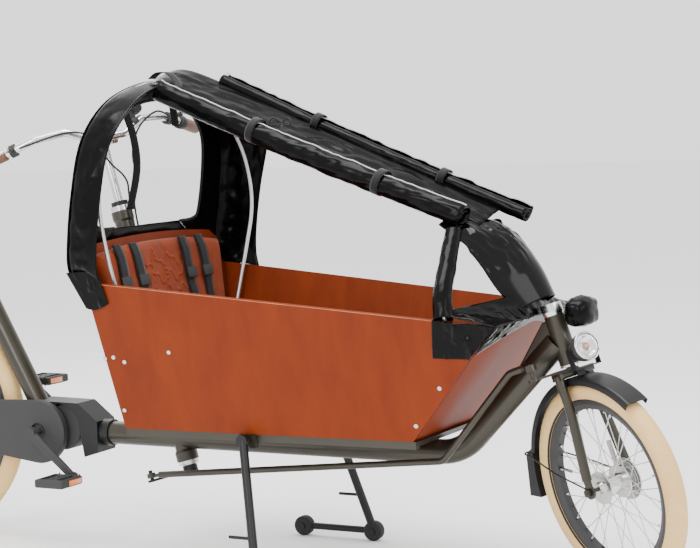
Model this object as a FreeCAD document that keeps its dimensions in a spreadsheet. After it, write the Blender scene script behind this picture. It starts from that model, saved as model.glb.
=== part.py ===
import FreeCAD, Part

# Cargo bicycle: a wooden box on a low frame between the front wheel and the rider,
# steered through a rod, with a folding-sided rain canopy rolled up over the box.
# Units are millimetres. +X is forward, +Y is the rider's left, +Z is up, and the origin lies
# on the ground under the middle of the whole bicycle. It stands on its four-footed stand with
# the front wheel a few millimetres clear and the steering turned to the right.

import math
import os

import Sketcher
from FreeCAD import Placement, Rotation, Vector

DIMENSIONS = [
    ("steering geometry", [
        ("front_axle_x", 1053, "front axle, forward of the origin"),
        ("front_axle_z", 253, "front axle height"),
        ("head_angle", 71.4, "front steering axis above the horizontal, degrees"),
        ("column_foot_x", -98, "rear steering axis at its foot"),
        ("column_foot_z", 244, "height of that foot"),
        ("column_angle", 74.8, "rear steering axis above the horizontal, degrees"),
        ("steer_angle", -32, "steering at rest, degrees, negative to the right"),
        ("lever_length", 110, "both steering levers, centre to centre"),
    ]),
    ("wheels", [
        ("front_wheel_radius", 250, "20 inch wheel over the tyre"),
        ("front_bead_radius", 203, "bead seat of the 20 inch rim"),
        ("rear_wheel_radius", 327, "26 inch wheel over the tyre"),
        ("rear_bead_radius", 279.5, "bead seat of the 26 inch rim"),
        ("tyre_section", 25, "half the tyre's width"),
        ("rear_axle_x", -947, "rear axle, behind the origin"),
        ("rear_axle_z", 327, "rear axle height"),
        ("axle_radius", 4.7, "wheel axles"),
        ("hub_radius", 21, "hub shells"),
        ("flange_radius", 39, "hub flanges"),
        ("spoke_radius", 1.1, "spokes"),
        ("spoke_count", 36, "spokes in each wheel"),
    ]),
    ("frame", [
        ("main_tube_radius", 30, "low main tube and its rise to the head"),
        ("main_tube_z", 307, "main tube height under the box"),
        ("main_tube_bend", 120, "bend radius at the front"),
        ("tube_wall", 2, "wall of the frame tubes"),
        ("column_tube_radius", 25, "rear steering column tube"),
        ("head_tube_radius", 24, "front head tube"),
        ("seat_tube_radius", 27, "seat tube"),
        ("seat_tube_angle", 61, "seat tube above the horizontal, degrees"),
        ("seat_tube_length", 470, "bottom bracket to the top of the seat tube"),
        ("stay_radius", 9, "rear stays"),
        ("rail_size", 18, "square rails under the box"),
    ]),
    ("drive", [
        ("crank_x", -527, "crank axle, behind the origin"),
        ("crank_z", 308, "crank axle height"),
        ("crank_length", 170, "crank arms"),
        ("crank_drop", 39, "right arm below the horizontal, degrees"),
        ("crank_offset", 95, "crank arm's middle from the centre plane"),
        ("pedal_offset", 155, "pedal's middle from the centre plane"),
        ("spindle_radius", 8.5, "crank axle"),
        ("motor_radius", 60, "drive unit"),
        ("motor_width", 64, "drive unit across the frame"),
        ("chainring_radius", 70, "chainring"),
        ("sprocket_radius", 36, "rear sprocket"),
        ("chain_line", 52, "chain from the centre plane, on the right"),
    ]),
    ("box", [
        ("floor_z", 360, "under side of the box"),
        ("rim_rear_z", 732, "rim height at the back"),
        ("rim_front_z", 640, "rim height at the front"),
        ("bottom_rear_x", -142, "lower rear corner"),
        ("bottom_front_x", 638, "lower front corner"),
        ("rim_rear_x", -172, "upper rear corner"),
        ("rim_front_x", 875, "upper front corner"),
        ("bottom_rear_half", 212, "half width, lower rear"),
        ("bottom_front_half", 180, "half width, lower front"),
        ("rim_rear_half", 320, "half width, upper rear"),
        ("panel_thickness", 12, "plywood"),
        ("back_foot_x", -80, "back rest at the floor"),
        ("back_lean", 77.5, "back rest above the horizontal, degrees"),
        ("back_height", 470, "back rest along its slope, middle"),
        ("bench_z", 545, "under side of the bench board"),
        ("bench_depth", 260, "bench board, front to back"),
    ]),
    ("stand", [
        ("stand_x", 203, "stand pivot"),
        ("stand_z", 348, "stand pivot height"),
        ("stand_half", 222, "leg's middle at the pivot"),
        ("foot_front_x", 276, "front feet"),
        ("foot_rear_x", 67, "rear feet"),
        ("foot_half", 304, "feet from the centre plane"),
        ("foot_radius", 26, "rubber feet"),
        ("leg_radius", 11, "stand legs"),
    ]),
    ("handlebar", [
        ("stem_height", 855, "bar clamp up the column from its foot"),
        ("stem_reach", 30, "bar clamp ahead of the column"),
        ("bar_radius", 11, "handlebar tube"),
        ("grip_radius", 16, "grips"),
        ("shaft_radius", 14, "steering shaft in the column"),
    ]),
    ("canopy", [
        ("pole_radius", 5, "bent canopy poles"),
        ("hoop_top_z", 1219, "top of the rear hoop"),
        ("hoop_x", -126, "rear hoop"),
        ("fabric", 8, "canopy fabric as a plain solid"),
        ("near_roll_radius", 34, "rolled right side panel"),
        ("far_roll_radius", 22, "rolled left side panel"),
    ]),
    ("saddle", [
        ("saddle_z", 962, "saddle's top"),
        ("saddle_length", 255, "saddle"),
        ("post_radius", 13.6, "seat post"),
    ]),
]

UP = Vector(0, 0, 1)
LEFT = Vector(0, 1, 0)
FORWARD = Vector(1, 0, 0)
SIDES = {"right": -1, "left": 1}

doc = FreeCAD.newDocument("CargoBicycle")
sizes = doc.addObject("Spreadsheet::Sheet", "sizes")
parts = []


# ---------------------------------------------------------------- sizes

def fill_sheet():
    """Writes every driving dimension in a row of its own, with its alias."""
    row = 1
    for title, entries in DIMENSIONS:
        sizes.set(f"A{row}", title)
        row += 1
        for alias, number, note in entries:
            sizes.set(f"A{row}", note)
            sizes.set(f"B{row}", str(number))
            sizes.setAlias(f"B{row}", alias)
            row += 1
    doc.recompute()


def mm(alias):
    """A driving dimension's number."""
    return float(sizes.get(alias))


def number(term):
    """The number of a term: a plain number, or an alias with an offset."""
    if isinstance(term, tuple):
        return mm(term[0]) + term[1]
    return float(term)


# ---------------------------------------------------------------- places

def facing(origin, z_axis, x_axis=FORWARD):
    """Puts a piece's own +Z along z_axis and its +X as near x_axis as it can be."""
    return Placement(origin, Rotation(x_axis, Vector(), z_axis, "ZXY"))


def axis_frame(foot, angle):
    """The frame of a steering axis that leans back: +Z up the axis, +X ahead, before steering."""
    return Placement(foot, Rotation(LEFT, angle - 90))


def fork_frame():
    """The front fork's frame, centred on the axle and steered."""
    foot = Vector(mm("front_axle_x"), 0, mm("front_axle_z"))
    return axis_frame(foot, mm("head_angle")) * Placement(Vector(), Rotation(UP, mm("steer_angle")))


def head_frame():
    """The front head tube's frame: as the fork's, and not steered."""
    foot = Vector(mm("front_axle_x"), 0, mm("front_axle_z"))
    return axis_frame(foot, mm("head_angle"))


def column_frame():
    """The rear column's frame, centred on its foot and not steered."""
    return axis_frame(Vector(mm("column_foot_x"), 0, mm("column_foot_z")), mm("column_angle"))


def steered_frame():
    """The rear column's frame, steered."""
    return column_frame() * Placement(Vector(), Rotation(UP, mm("steer_angle")))


def side_half(x, z):
    """Half width of the box over its side panels, which are flat, flared and tapered."""
    taper = (mm("bottom_front_half") - mm("bottom_rear_half")) / (mm("bottom_front_x") - mm("bottom_rear_x"))
    along = mm("rim_rear_x") - mm("bottom_rear_x")
    rise = mm("rim_rear_z") - mm("floor_z")
    flare = (mm("rim_rear_half") - mm("bottom_rear_half") - taper * along) / rise
    return mm("bottom_rear_half") + taper * (x - mm("bottom_rear_x")) + flare * (z - mm("floor_z"))


def rim_z(x):
    """Height of the box's sloping rim."""
    share = (x - mm("rim_rear_x")) / (mm("rim_front_x") - mm("rim_rear_x"))
    return mm("rim_rear_z") + share * (mm("rim_front_z") - mm("rim_rear_z"))


def inner_half(x, z, gap=0.4):
    """Half width inside the side panels."""
    return side_half(x, z) - mm("panel_thickness") * 1.045 - gap


# ---------------------------------------------------------------- makers

def keep(label, feature, placement=None):
    """Names a finished sub-part and puts it in its place."""
    feature.Label = label
    if placement is not None:
        feature.Placement = placement
    parts.append(feature)
    return feature


def shaped(label, shape, placement=None):
    """A sub-part whose shape is worked out from the sheet by Part's own functions."""
    feature = doc.addObject("Part::Feature", label)
    feature.Shape = shape
    return keep(label, feature, placement)


def hold(sketch, index, kind, term):
    """Ties one coordinate of a corner to the sheet, or to an axis where it is nil."""
    size = number(term)
    if abs(size) < 1e-9:
        axis = -2 if kind == "DistanceX" else -1
        sketch.addConstraint(Sketcher.Constraint("PointOnObject", index, 1, axis))
        return
    place = sketch.addConstraint(Sketcher.Constraint(kind, -1, 1, index, 1, size))
    if isinstance(term, tuple):
        sketch.setExpression(f"Constraints[{place}]", f"sizes.{term[0]} + {term[1]}")


def outline_sketch(body, role, outline):
    """A closed outline of straight edges on one of the body's own planes."""
    sketch = body.newObject("Sketcher::SketchObject", "Outline")
    plane = next(item for item in body.Origin.OriginFeatures if item.Role == role)
    sketch.AttachmentSupport = [(plane, "")]
    sketch.MapMode = "FlatFace"
    corners = [Vector(number(x), number(y), 0) for x, y in outline]
    for start, end in zip(corners, corners[1:] + corners[:1]):
        sketch.addGeometry(Part.LineSegment(start, end), False)
    for index in range(len(corners)):
        sketch.addConstraint(Sketcher.Constraint("Coincident", index, 2, (index + 1) % len(corners), 1))
    for index, (x, y) in enumerate(outline):
        hold(sketch, index, "DistanceX", x)
        hold(sketch, index, "DistanceY", y)
    return sketch


def turned_body(name, profile):
    """A body turned about its own Z from a profile of radius and height."""
    body = doc.addObject("PartDesign::Body", name)
    sketch = outline_sketch(body, "XZ_Plane", profile)
    turn = body.newObject("PartDesign::Revolution", "Turn")
    turn.Profile = sketch
    turn.ReferenceAxis = (sketch, ["V_Axis"])
    turn.Angle = 360
    body.Tip = turn
    return body


def plate_body(name, outline, thickness):
    """A body padded up from an outline in its XY plane; thickness is an expression."""
    body = doc.addObject("PartDesign::Body", name)
    sketch = outline_sketch(body, "XY_Plane", outline)
    pad = body.newObject("PartDesign::Pad", "Plate")
    pad.Profile = sketch
    pad.setExpression("Length", thickness)
    body.Tip = pad
    return body


def cylinder(radius, height, placement):
    """A plain cylinder whose radius and height are expressions of the sheet."""
    piece = doc.addObject("Part::Cylinder", "Round")
    piece.setExpression("Radius", radius)
    piece.setExpression("Height", height)
    piece.Placement = placement
    return piece


def rounded_path(points, bend):
    """Straight runs between points, joined at each inner point by a tangent arc.

    bend is the arc's radius, or None for the largest that its two runs allow.
    """
    edges = []
    start = points[0]
    radii = []
    for before, corner, after in zip(points, points[1:], points[2:]):
        inward = (before - corner)
        outward = (after - corner)
        run = min(inward.Length, outward.Length)
        inward.normalize()
        outward.normalize()
        half_turn = (math.pi - inward.getAngle(outward)) / 2
        reach = 0.45 * run if bend is None else bend * math.tan(half_turn)
        radii.append(reach / math.tan(half_turn))
        first = corner + inward * reach
        last = corner + outward * reach
        middle_way = inward + outward
        middle_way.normalize()
        radius = radii[-1]
        middle = corner + middle_way * (radius / math.cos(half_turn) - radius)
        edges.append(Part.LineSegment(start, first).toShape())
        edges.append(Part.Arc(first, middle, last).toShape())
        start = last
    edges.append(Part.LineSegment(start, points[-1]).toShape())
    return Part.Wire(edges), radii


def rod(points, radius, bend=40):
    """A solid round bar along a bent path."""
    if len(points) == 2:
        way = points[1] - points[0]
        return Part.makeCylinder(radius, way.Length, points[0], way)
    path, _ = rounded_path(points, bend)
    start = Part.Wire(Part.Circle(points[0], points[1] - points[0], radius).toShape())
    return path.makePipeShell([start], True, False)


def cord(name, points, radius):
    """A cable's solid; prints its bend radii and compares its volume with its length."""
    path, radii = rounded_path(points, None)
    solid = rod(points, radius, None)
    expected = math.pi * radius ** 2 * path.Length
    print(f"{name}: length {path.Length:.0f}, bends {[round(r) for r in radii]},",
          f"volume {solid.Volume / expected:.4f} of section times length")
    return solid


def block(low, high):
    """A box from its lowest to its highest corner."""
    span = high - low
    return Part.makeBox(span.x, span.y, span.z, low)


def mirrored(shape):
    """The same shape on the other side of the centre plane."""
    return shape.mirror(Vector(), LEFT)


def joined(pieces):
    """One welded solid."""
    return pieces[0].multiFuse(pieces[1:]).removeSplitter()


def polygon(points):
    """A flat face from its corners."""
    return Part.Face(Part.makePolygon(points + points[:1]))


def upright(outline, half):
    """A plate in the centre plane from (x, z) corners, half to each side."""
    face = polygon([Vector(x, -half, z) for x, z in outline])
    return face.extrude(Vector(0, 2 * half, 0))


# ---------------------------------------------------------------- frame

# The gusset at the head tube, the drive unit's middle and the heights of the crown and deck.
GUSSET = [(846, 500), (838, 524), (896, 625), (930, 640), (946, 560), (905, 520)]
MOTOR_X, MOTOR_Z = -470, 318
LAMP_PIVOT = 318
DECK_Z = 770


def main_route():
    """The low main tube's route, up to the head tube."""
    z = mm("main_tube_z")
    return [Vector(-330, 0, z), Vector(678, 0, z), Vector(930, 0, 580)]


def stay_route(side):
    """A chain stay's route, from beside the crank to the rear axle."""
    out = side * 66
    return [Vector(-608, side * 46, 306), Vector(-680, side * 52, 308),
            Vector(mm("rear_axle_x") + 22, out, mm("rear_axle_z") - 2)]


def blade_route(side):
    """A fork blade's route in the fork's frame, from the crown down to the axle."""
    return [Vector(0, side * 43, 272), Vector(4, side * 44, 190), Vector(2, side * 61, 26)]


def ridge_poles(radius):
    """The two straight poles from the rear hoop to the front hoop."""
    return [rod([Vector(-134, y, 1216), Vector(722, y, 856)], radius) for y in (-36, 36)]


def across_cylinder(radius, width, x, z):
    """A cylinder along Y, centred on the bicycle's middle plane."""
    return Part.makeCylinder(radius, width, Vector(x, -width / 2, z), LEFT)


def seat_point(length, across=0):
    """A point up the seat tube from the crank axle."""
    lean = math.radians(mm("seat_tube_angle"))
    return Vector(mm("crank_x") - length * math.cos(lean), across, mm("crank_z") + length * math.sin(lean))


def make_main_frame():
    """Low main tube, its rise to the head, head tube, gusset and the lug behind."""
    radius = mm("main_tube_radius")
    outer = rod(main_route(), radius, mm("main_tube_bend"))
    inner = rod(main_route(), radius - mm("tube_wall"), mm("main_tube_bend"))
    head_outer = Part.makeCylinder(mm("head_tube_radius"), 118, Vector(0, 0, 292))
    head_outer.Placement = head_frame()
    gusset = upright(GUSSET, 13)
    gusset = gusset.makeFillet(4, gusset.Edges)
    ears = [across_cylinder(9, 34, 905, 566), across_cylinder(7, 34, 890, 545)]
    welded = joined([outer, head_outer, gusset] + ears)
    bore = Part.makeCylinder(mm("head_tube_radius") - 4, 140, Vector(0, 0, 285))
    bore.Placement = head_frame()
    column = Part.makeCylinder(mm("column_tube_radius"), 300, Vector(0, 0, -60))
    column.Placement = column_frame()
    shaped("main_frame_tube", welded.cut(inner).cut(bore).cut(column))


def make_column_tube():
    """The tall tube that the rear steering shaft turns in."""
    body = turned_body("ColumnTube", [
        (("column_tube_radius", -3), 2), (("column_tube_radius", 4), 2),
        (("column_tube_radius", 4), 26), (("column_tube_radius", 0), 32),
        (("column_tube_radius", 0), 640), (("column_tube_radius", 3), 646),
        (("column_tube_radius", 3), 668), (("column_tube_radius", -3), 668)])
    keep("column_tube", body, column_frame())


def make_headset_cups():
    """Bearing cups at both ends of both steering tubes."""
    upper = Part.makeCone(23, 26, 10, Vector(0, 0, 410.2))
    upper = joined([upper, Part.makeCylinder(25, 18, Vector(0, 0, 420.2))])
    lower = Part.makeCylinder(25, 4.5, Vector(0, 0, 287.2))
    bore = Part.makeCylinder(12.6, 200, Vector(0, 0, 270))
    cups = []
    for solid in (upper, lower):
        cup = solid.cut(bore)
        cup.Placement = head_frame()
        cups.append(cup)
    for height, tall in ((-9, 10.8), (668.2, 13)):
        cup = Part.makeCylinder(mm("column_tube_radius") + 1, tall, Vector(0, 0, height))
        cup = cup.cut(Part.makeCylinder(mm("shaft_radius") + 0.15, tall, Vector(0, 0, height)))
        cup.Placement = column_frame()
        cups.append(cup)
    shaped("headset_cups", Part.makeCompound(cups))


def make_seat_tube():
    """The leaning seat tube, from the drive unit's bracket to the seat clamp."""
    radius = mm("seat_tube_radius")
    shell = rod([seat_point(72), seat_point(mm("seat_tube_length"))], radius)
    collar = rod([seat_point(mm("seat_tube_length") - 32), seat_point(mm("seat_tube_length"))], radius + 4)
    bolt = Part.makeCylinder(4, 26, seat_point(mm("seat_tube_length") - 16, -13) + Vector(-28, 0, -14), LEFT)
    bore = rod([seat_point(60), seat_point(mm("seat_tube_length") + 5)], mm("post_radius") + 0.1)
    shaped("seat_tube", joined([shell, collar, bolt]).cut(bore))


def make_rear_stays():
    """Chain stays, seat stays and dropouts on both sides, with a bridge."""
    axle = Vector(mm("rear_axle_x"), 0, mm("rear_axle_z"))
    radius = mm("stay_radius")
    pieces = []
    for side in SIDES.values():
        out = side * 66
        low = rod(stay_route(side), radius, 90)
        high = rod([seat_point(425, side * 31), seat_point(425, side * 50) + Vector(-60, 0, -90),
                    axle + Vector(16, out, 22)], radius - 1, 60)
        plate = upright([(-34, -16), (34, -12), (30, 30), (0, 34), (-26, 22)], 3.5)
        plate.translate(axle + Vector(0, out, 0))
        slot = Part.makeCylinder(mm("axle_radius") + 0.1, 20, axle + Vector(0, out - 10, 0), LEFT)
        pieces.append(joined([low, high, plate]).cut(slot))
    shaped("rear_stays", Part.makeCompound(pieces))


def make_motor_bracket():
    """The cover that hangs the drive unit between seat tube and main tube."""
    outline = [(-575, 352), (-548, 392), (-412, 390), (-352, 344), (-352, 262), (-396, 248), (-404, 300),
               (-425, 360), (-470, 388), (-500, 378), (-545, 360)]
    plate = upright([(x, z - 4) for x, z in outline], 40)
    room = [(-545, 340), (-541, 378), (-414, 376), (-364, 334), (-364, 268), (-450, 250), (-560, 262)]
    hollow = upright(room, 36.6)
    drive = across_cylinder(mm("motor_radius") + 1, 200, MOTOR_X, MOTOR_Z)
    round_end = across_cylinder(50, 200, mm("crank_x"), mm("crank_z"))
    bores = rod([seat_point(60), seat_point(200)], mm("seat_tube_radius") + 0.3)
    shell = plate.cut(hollow).cut(drive).cut(round_end).cut(bores)
    radius = mm("main_tube_radius")
    end = Vector(-356, 0, mm("main_tube_z"))
    collar = Part.makeCylinder(radius + 5, 30, end, FORWARD)
    collar = collar.cut(Part.makeCylinder(radius + 0.1, 30, end, FORWARD))
    shaped("motor_bracket", joined([shell, collar]))


def make_motor():
    """The drive unit under the bracket, with the crank bearing's barrel."""
    can = across_cylinder(mm("motor_radius"), mm("motor_width"), MOTOR_X, MOTOR_Z)
    can = can.makeFillet(6, [edge for edge in can.Edges if edge.Length > 100 and len(edge.Vertexes) == 1])
    barrel = across_cylinder(46, mm("motor_width") - 8, mm("crank_x"), mm("crank_z"))
    bore = across_cylinder(mm("spindle_radius") + 0.1, 200, mm("crank_x"), mm("crank_z"))
    shaped("motor_unit", joined([can, barrel]).cut(bore))


def loop_face(margin, offset):
    """The flat area round crank and rear axle at chain line, grown by a margin."""
    crank = Vector(mm("crank_x"), offset, mm("crank_z"))
    axle = Vector(mm("rear_axle_x"), offset, mm("rear_axle_z"))
    big = mm("chainring_radius") + margin
    small = mm("sprocket_radius") + margin
    way = axle - crank
    spread = math.acos((big - small) / way.Length)
    heading = math.atan2(way.z, way.x)

    def rim(centre, radius, angle):
        return centre + Vector(math.cos(angle), 0, math.sin(angle)) * radius

    above, below = heading - spread, heading + spread
    edges = [
        Part.LineSegment(rim(crank, big, above), rim(axle, small, above)),
        Part.Arc(rim(axle, small, above), rim(axle, small, heading), rim(axle, small, below)),
        Part.LineSegment(rim(axle, small, below), rim(crank, big, below)),
        Part.Arc(rim(crank, big, below), rim(crank, big, heading + math.pi), rim(crank, big, above))]
    return Part.Face(Part.Wire([edge.toShape() for edge in edges]))


def make_chain_case():
    """The closed case round the chain, open inward at the crank and the hub."""
    y = -mm("chain_line")
    outer = loop_face(14, y - 11).extrude(Vector(0, 22, 0))
    outer = outer.makeFillet(4, outer.Edges)
    hollow = loop_face(11, y - 8.5).extrude(Vector(0, 17, 0))
    crank = Part.makeCylinder(24, 60, Vector(mm("crank_x"), y - 30, mm("crank_z")), LEFT)
    axle = Part.makeCylinder(30, 60, Vector(mm("rear_axle_x"), y, mm("rear_axle_z")), LEFT)
    nut = Part.makeCylinder(13, 60, Vector(mm("rear_axle_x"), y - 30, mm("rear_axle_z")), LEFT)
    stay = rod(stay_route(-1), mm("stay_radius") + 0.3, 90)
    shaped("chain_case", outer.cut(hollow).cut(crank).cut(axle).cut(nut).cut(stay))


def make_chain():
    """The chain as a closed band round chainring and sprocket."""
    y = -mm("chain_line")
    outer = loop_face(4, y - 3.5).extrude(Vector(0, 7, 0))
    inner = loop_face(0.4, y - 3.5).extrude(Vector(0, 7, 0))
    stay = rod(stay_route(-1), mm("stay_radius") + 0.6, 90)
    shaped("chain", outer.cut(inner).cut(stay))


def make_platform():
    """Square rails under the box's edges, cross members and the stand's ears."""
    rail = mm("rail_size")
    low = mm("floor_z") - rail - 0.5
    pieces = []
    for side in SIDES.values():
        corners = []
        for x in (mm("bottom_rear_x"), mm("bottom_front_x") + 6):
            corners.append(Vector(x, side * (side_half(x, mm("floor_z")) - 3), low))
        inner = [point - Vector(0, side * rail, 0) for point in reversed(corners)]
        pieces.append(polygon(corners + inner).extrude(Vector(0, 0, rail)))
        ear = block(Vector(-24, -8, -20), Vector(24, 8, 10))
        ear.translate(Vector(mm("stand_x"), side * (mm("stand_half") - 26), mm("stand_z")))
        pieces.append(ear)
    for x in (-136, 90, 330, mm("bottom_front_x") - 10):
        half = side_half(x, mm("floor_z")) - 6
        pieces.append(block(Vector(x, -half, low + 7), Vector(x + rail, half, low + rail)))
    welded = joined(pieces)
    pivot = across_cylinder(8.1, 600, mm("stand_x"), mm("stand_z"))
    column = Part.makeCylinder(mm("column_tube_radius") + 0.2, 300, Vector(0, 0, -60))
    column.Placement = column_frame()
    main = rod(main_route(), mm("main_tube_radius") + 0.2, mm("main_tube_bend"))
    shaped("platform_frame", welded.cut(pivot).cut(column).cut(main))


# ---------------------------------------------------------------- box

def panel_place(side):
    """The frame of a side panel: +X along its foot, +Y up its slope, +Z outward."""
    rear, front = mm("bottom_rear_x"), mm("bottom_front_x")
    foot = Vector(rear, side * side_half(rear, mm("floor_z")), mm("floor_z"))
    toe = Vector(front, side * side_half(front, mm("floor_z")), mm("floor_z"))
    along = toe - foot
    climb = Vector(0, side * (side_half(rear, 700) - side_half(rear, mm("floor_z"))), 700 - mm("floor_z"))
    outward = along.cross(climb) if side < 0 else climb.cross(along)
    return facing(foot, outward, along)


def make_side_panels():
    """Flat plywood sides with a sloping rim, thicker inward."""
    for name, side in SIDES.items():
        place = panel_place(side)
        corners = []
        for x, z in ((mm("bottom_rear_x"), mm("floor_z")), (mm("bottom_front_x"), mm("floor_z")),
                     (mm("rim_front_x"), mm("rim_front_z")), (mm("rim_rear_x"), mm("rim_rear_z"))):
            local = place.inverse().multVec(Vector(x, side * side_half(x, z), z))
            corners.append((local.x, local.y))
        body = plate_body("SidePanel", corners, "sizes.panel_thickness")
        body.Tip.Reversed = True
        keep(f"side_panel_{name}", body, place)


def make_front_panel():
    """The leaning front board, fitted between the sides."""
    low = Vector(mm("bottom_front_x"), 0, mm("floor_z"))
    high = Vector(mm("rim_front_x"), 0, mm("rim_front_z"))
    climb = high - low
    length = climb.Length
    outline = []
    for along, side in ((0, -1), (length, -1), (length, 1), (0, 1)):
        point = low + climb * (along / length) - Vector(12, 0, 0)
        outline.append((side * inner_half(point.x, point.z, 1.2), along))
    body = plate_body("FrontPanel", outline, "sizes.panel_thickness")
    outward = Vector(climb.z, 0, -climb.x)
    place = facing(low - Vector(2, 0, 0) - outward * (mm("panel_thickness") / outward.Length), outward, LEFT)
    keep("front_panel", body, place)


def back_point(along, across=0, ahead=0):
    """A point up the back rest's front face, measured from its foot."""
    lean = math.radians(mm("back_lean"))
    foot = Vector(mm("back_foot_x"), across, mm("floor_z") + mm("panel_thickness") + 3.2)
    return foot + Vector(ahead * math.sin(lean) - along * math.cos(lean), 0,
                         along * math.sin(lean) + ahead * math.cos(lean))


def make_back_panel():
    """The back rest board: flared between the sides, with an arched top above the rim."""
    rise = mm("back_height")
    rim = (mm("rim_rear_z") - 12 - back_point(0).z) / math.sin(math.radians(mm("back_lean")))
    corners = []
    for along in (0, rim):
        point = back_point(along, 0, -mm("panel_thickness"))
        corners.append(back_point(along, inner_half(point.x, point.z, 1)))
    shoulder = back_point(rise - 34, 300)
    bulge = back_point(rise - 12, 270)
    crown = back_point(rise, 0)

    def opposite(point):
        return Vector(point.x, -point.y, point.z)

    edges = [
        Part.LineSegment(opposite(corners[0]), corners[0]).toShape(),
        Part.LineSegment(corners[0], corners[1]).toShape(),
        Part.LineSegment(corners[1], shoulder).toShape(),
        Part.LineSegment(shoulder, bulge).toShape(),
        Part.Arc(bulge, crown, opposite(bulge)).toShape(),
        Part.LineSegment(opposite(bulge), opposite(shoulder)).toShape(),
        Part.LineSegment(opposite(shoulder), opposite(corners[1])).toShape(),
        Part.LineSegment(opposite(corners[1]), opposite(corners[0])).toShape()]
    face = Part.Face(Part.Wire(edges))
    backward = back_point(0, 0, -mm("panel_thickness")) - back_point(0)
    shaped("back_panel", face.extrude(backward))


def make_floor():
    """The floor board between the sides, back rest and front board."""
    z = mm("floor_z")
    rear, front = mm("back_foot_x") + 1, mm("bottom_front_x") - 18
    corners = [(rear, -inner_half(rear, z)), (front, -inner_half(front, z)),
               (front, inner_half(front, z)), (rear, inner_half(rear, z))]
    body = plate_body("Floor", corners, "sizes.panel_thickness")
    keep("floor_panel", body, Placement(Vector(0, 0, z), Rotation()))


def make_panel_bolts():
    """Round-headed coach bolts through the sides, as many on each side."""
    heads = [(28, 562), (-158, 541), (-133, 545), (-104, 534), (-134, 408), (726, 494), (652, 400)]
    pieces = []
    for x, z in heads:
        for side in SIDES.values():
            outward = panel_place(side).Rotation.multVec(UP)
            face = Vector(x, side * side_half(x, z), z)
            head = Part.makeCylinder(5.5, 2.2, face, outward)
            rim = [edge for edge in head.Edges if edge.Curve.TypeId == "Part::GeomCircle"]
            far = max(rim, key=lambda edge: (edge.Curve.Center - face).dot(outward))
            pieces.append(head.makeFillet(1.6, [far]))
    shaped("panel_bolts", Part.makeCompound(pieces))


def make_seat_back_pad():
    """The padded cover on the back rest."""
    rise = mm("back_height")
    low, high = 212, rise - 14
    half_low, half_high = 244, 270
    corners = [back_point(low, -half_low, 0.3), back_point(low, half_low, 0.3),
               back_point(rise - 62, 286, 0.3), back_point(high - 8, half_high, 0.3),
               back_point(high, 0, 0.3), back_point(high - 8, -half_high, 0.3),
               back_point(rise - 62, -286, 0.3)]
    ahead = back_point(0, 0, 26) - back_point(0, 0, 0)
    shaped("seat_back_pad", polygon(corners).extrude(ahead))


def make_harness():
    """Four flat harness straps down the back rest, in two pairs."""
    straps = []
    for y in (-206, -128, 92, 168):
        low, high = 222, mm("back_height") - 26
        corners = [back_point(low, y - 19, 26.6), back_point(low, y + 19, 26.6),
                   back_point(high, y + 19, 26.6), back_point(high, y - 19, 26.6)]
        straps.append(polygon(corners).extrude(back_point(0, 0, 3) - back_point(0, 0, 0)))
    shaped("harness_straps", Part.makeCompound(straps))


def make_bench():
    """The hinged bench board inside the box, with its two hinge knuckles."""
    z = mm("bench_z")
    rear = -82
    front = rear + mm("bench_depth")
    half = inner_half(front, z, 5)
    board = block(Vector(rear, -half, z), Vector(front, half, z + mm("panel_thickness")))
    board = board.makeFillet(4, [edge for edge in board.Edges if edge.CenterOfMass.x > front - 1])
    knuckles = [Part.makeCylinder(5, 60, Vector(rear - 4, y - 30, z + 6), LEFT) for y in (-150, 150)]
    shaped("bench_board", joined([board] + knuckles))


# ---------------------------------------------------------------- canopy

def hoop_route(out=0):
    """The rear hoop's route, right foot to left foot, bowed forward at each side."""
    half = [Vector(-90, 236, 585), Vector(-78, 278 + out, 735), Vector(-66, 324 + out, 900),
            Vector(-88, 304 + out, 1060), Vector(-126, 190 + out * 0.7, 1184 + out * 0.5)]
    crown = [Vector(mm("hoop_x"), y, mm("hoop_top_z") + out) for y in (60, -60)]
    set_back = [0, 38, 52, 36, 0]
    right = [Vector(p.x - back, -p.y, p.z) for p, back in zip(half, set_back)]
    return right + crown[::-1] + half[::-1]


def front_hoop_route():
    """The low front hoop's route over the box's front end."""
    half = [Vector(762, 236, 615), Vector(752, 250, 690), Vector(728, 122, 836), Vector(724, 84, 852)]
    return [Vector(p.x, -p.y, p.z) for p in half] + half[::-1]


def make_poles():
    """Rear hoop, front hoop and the two ridge poles between them."""
    radius = mm("pole_radius")
    hoops = [rod(hoop_route(), radius, None), rod(front_hoop_route(), radius, None)]
    shaped("canopy_poles", joined(hoops + ridge_poles(radius)))


def arch(x, half_low, low, grow=0.0):
    """The canopy's rear outline in a plane across the bicycle, low edge to low edge."""
    points = [(half_low + grow, low), (346 + grow, 800), (348 + grow, 950), (318 + grow, 1090),
              (205 + grow * 0.8, 1188 + grow * 0.7), (0, 1228 + grow)]
    side = [Vector(x, y, z) for y, z in points]
    return side, [Vector(p.x, -p.y, p.z) for p in side]


def arch_face(x, half_low, low, grow):
    """A flat face inside the canopy's rear outline."""
    left, right = arch(x, half_low, low, grow)
    edges = []
    for side in (left, right[::-1]):
        spline = Part.BSplineCurve()
        spline.interpolate(side)
        edges.append(spline.toShape())
    ends = Part.LineSegment(right[0], left[0]).toShape()
    return Part.Face(Part.Wire([edges[0], edges[1], ends]))


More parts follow.
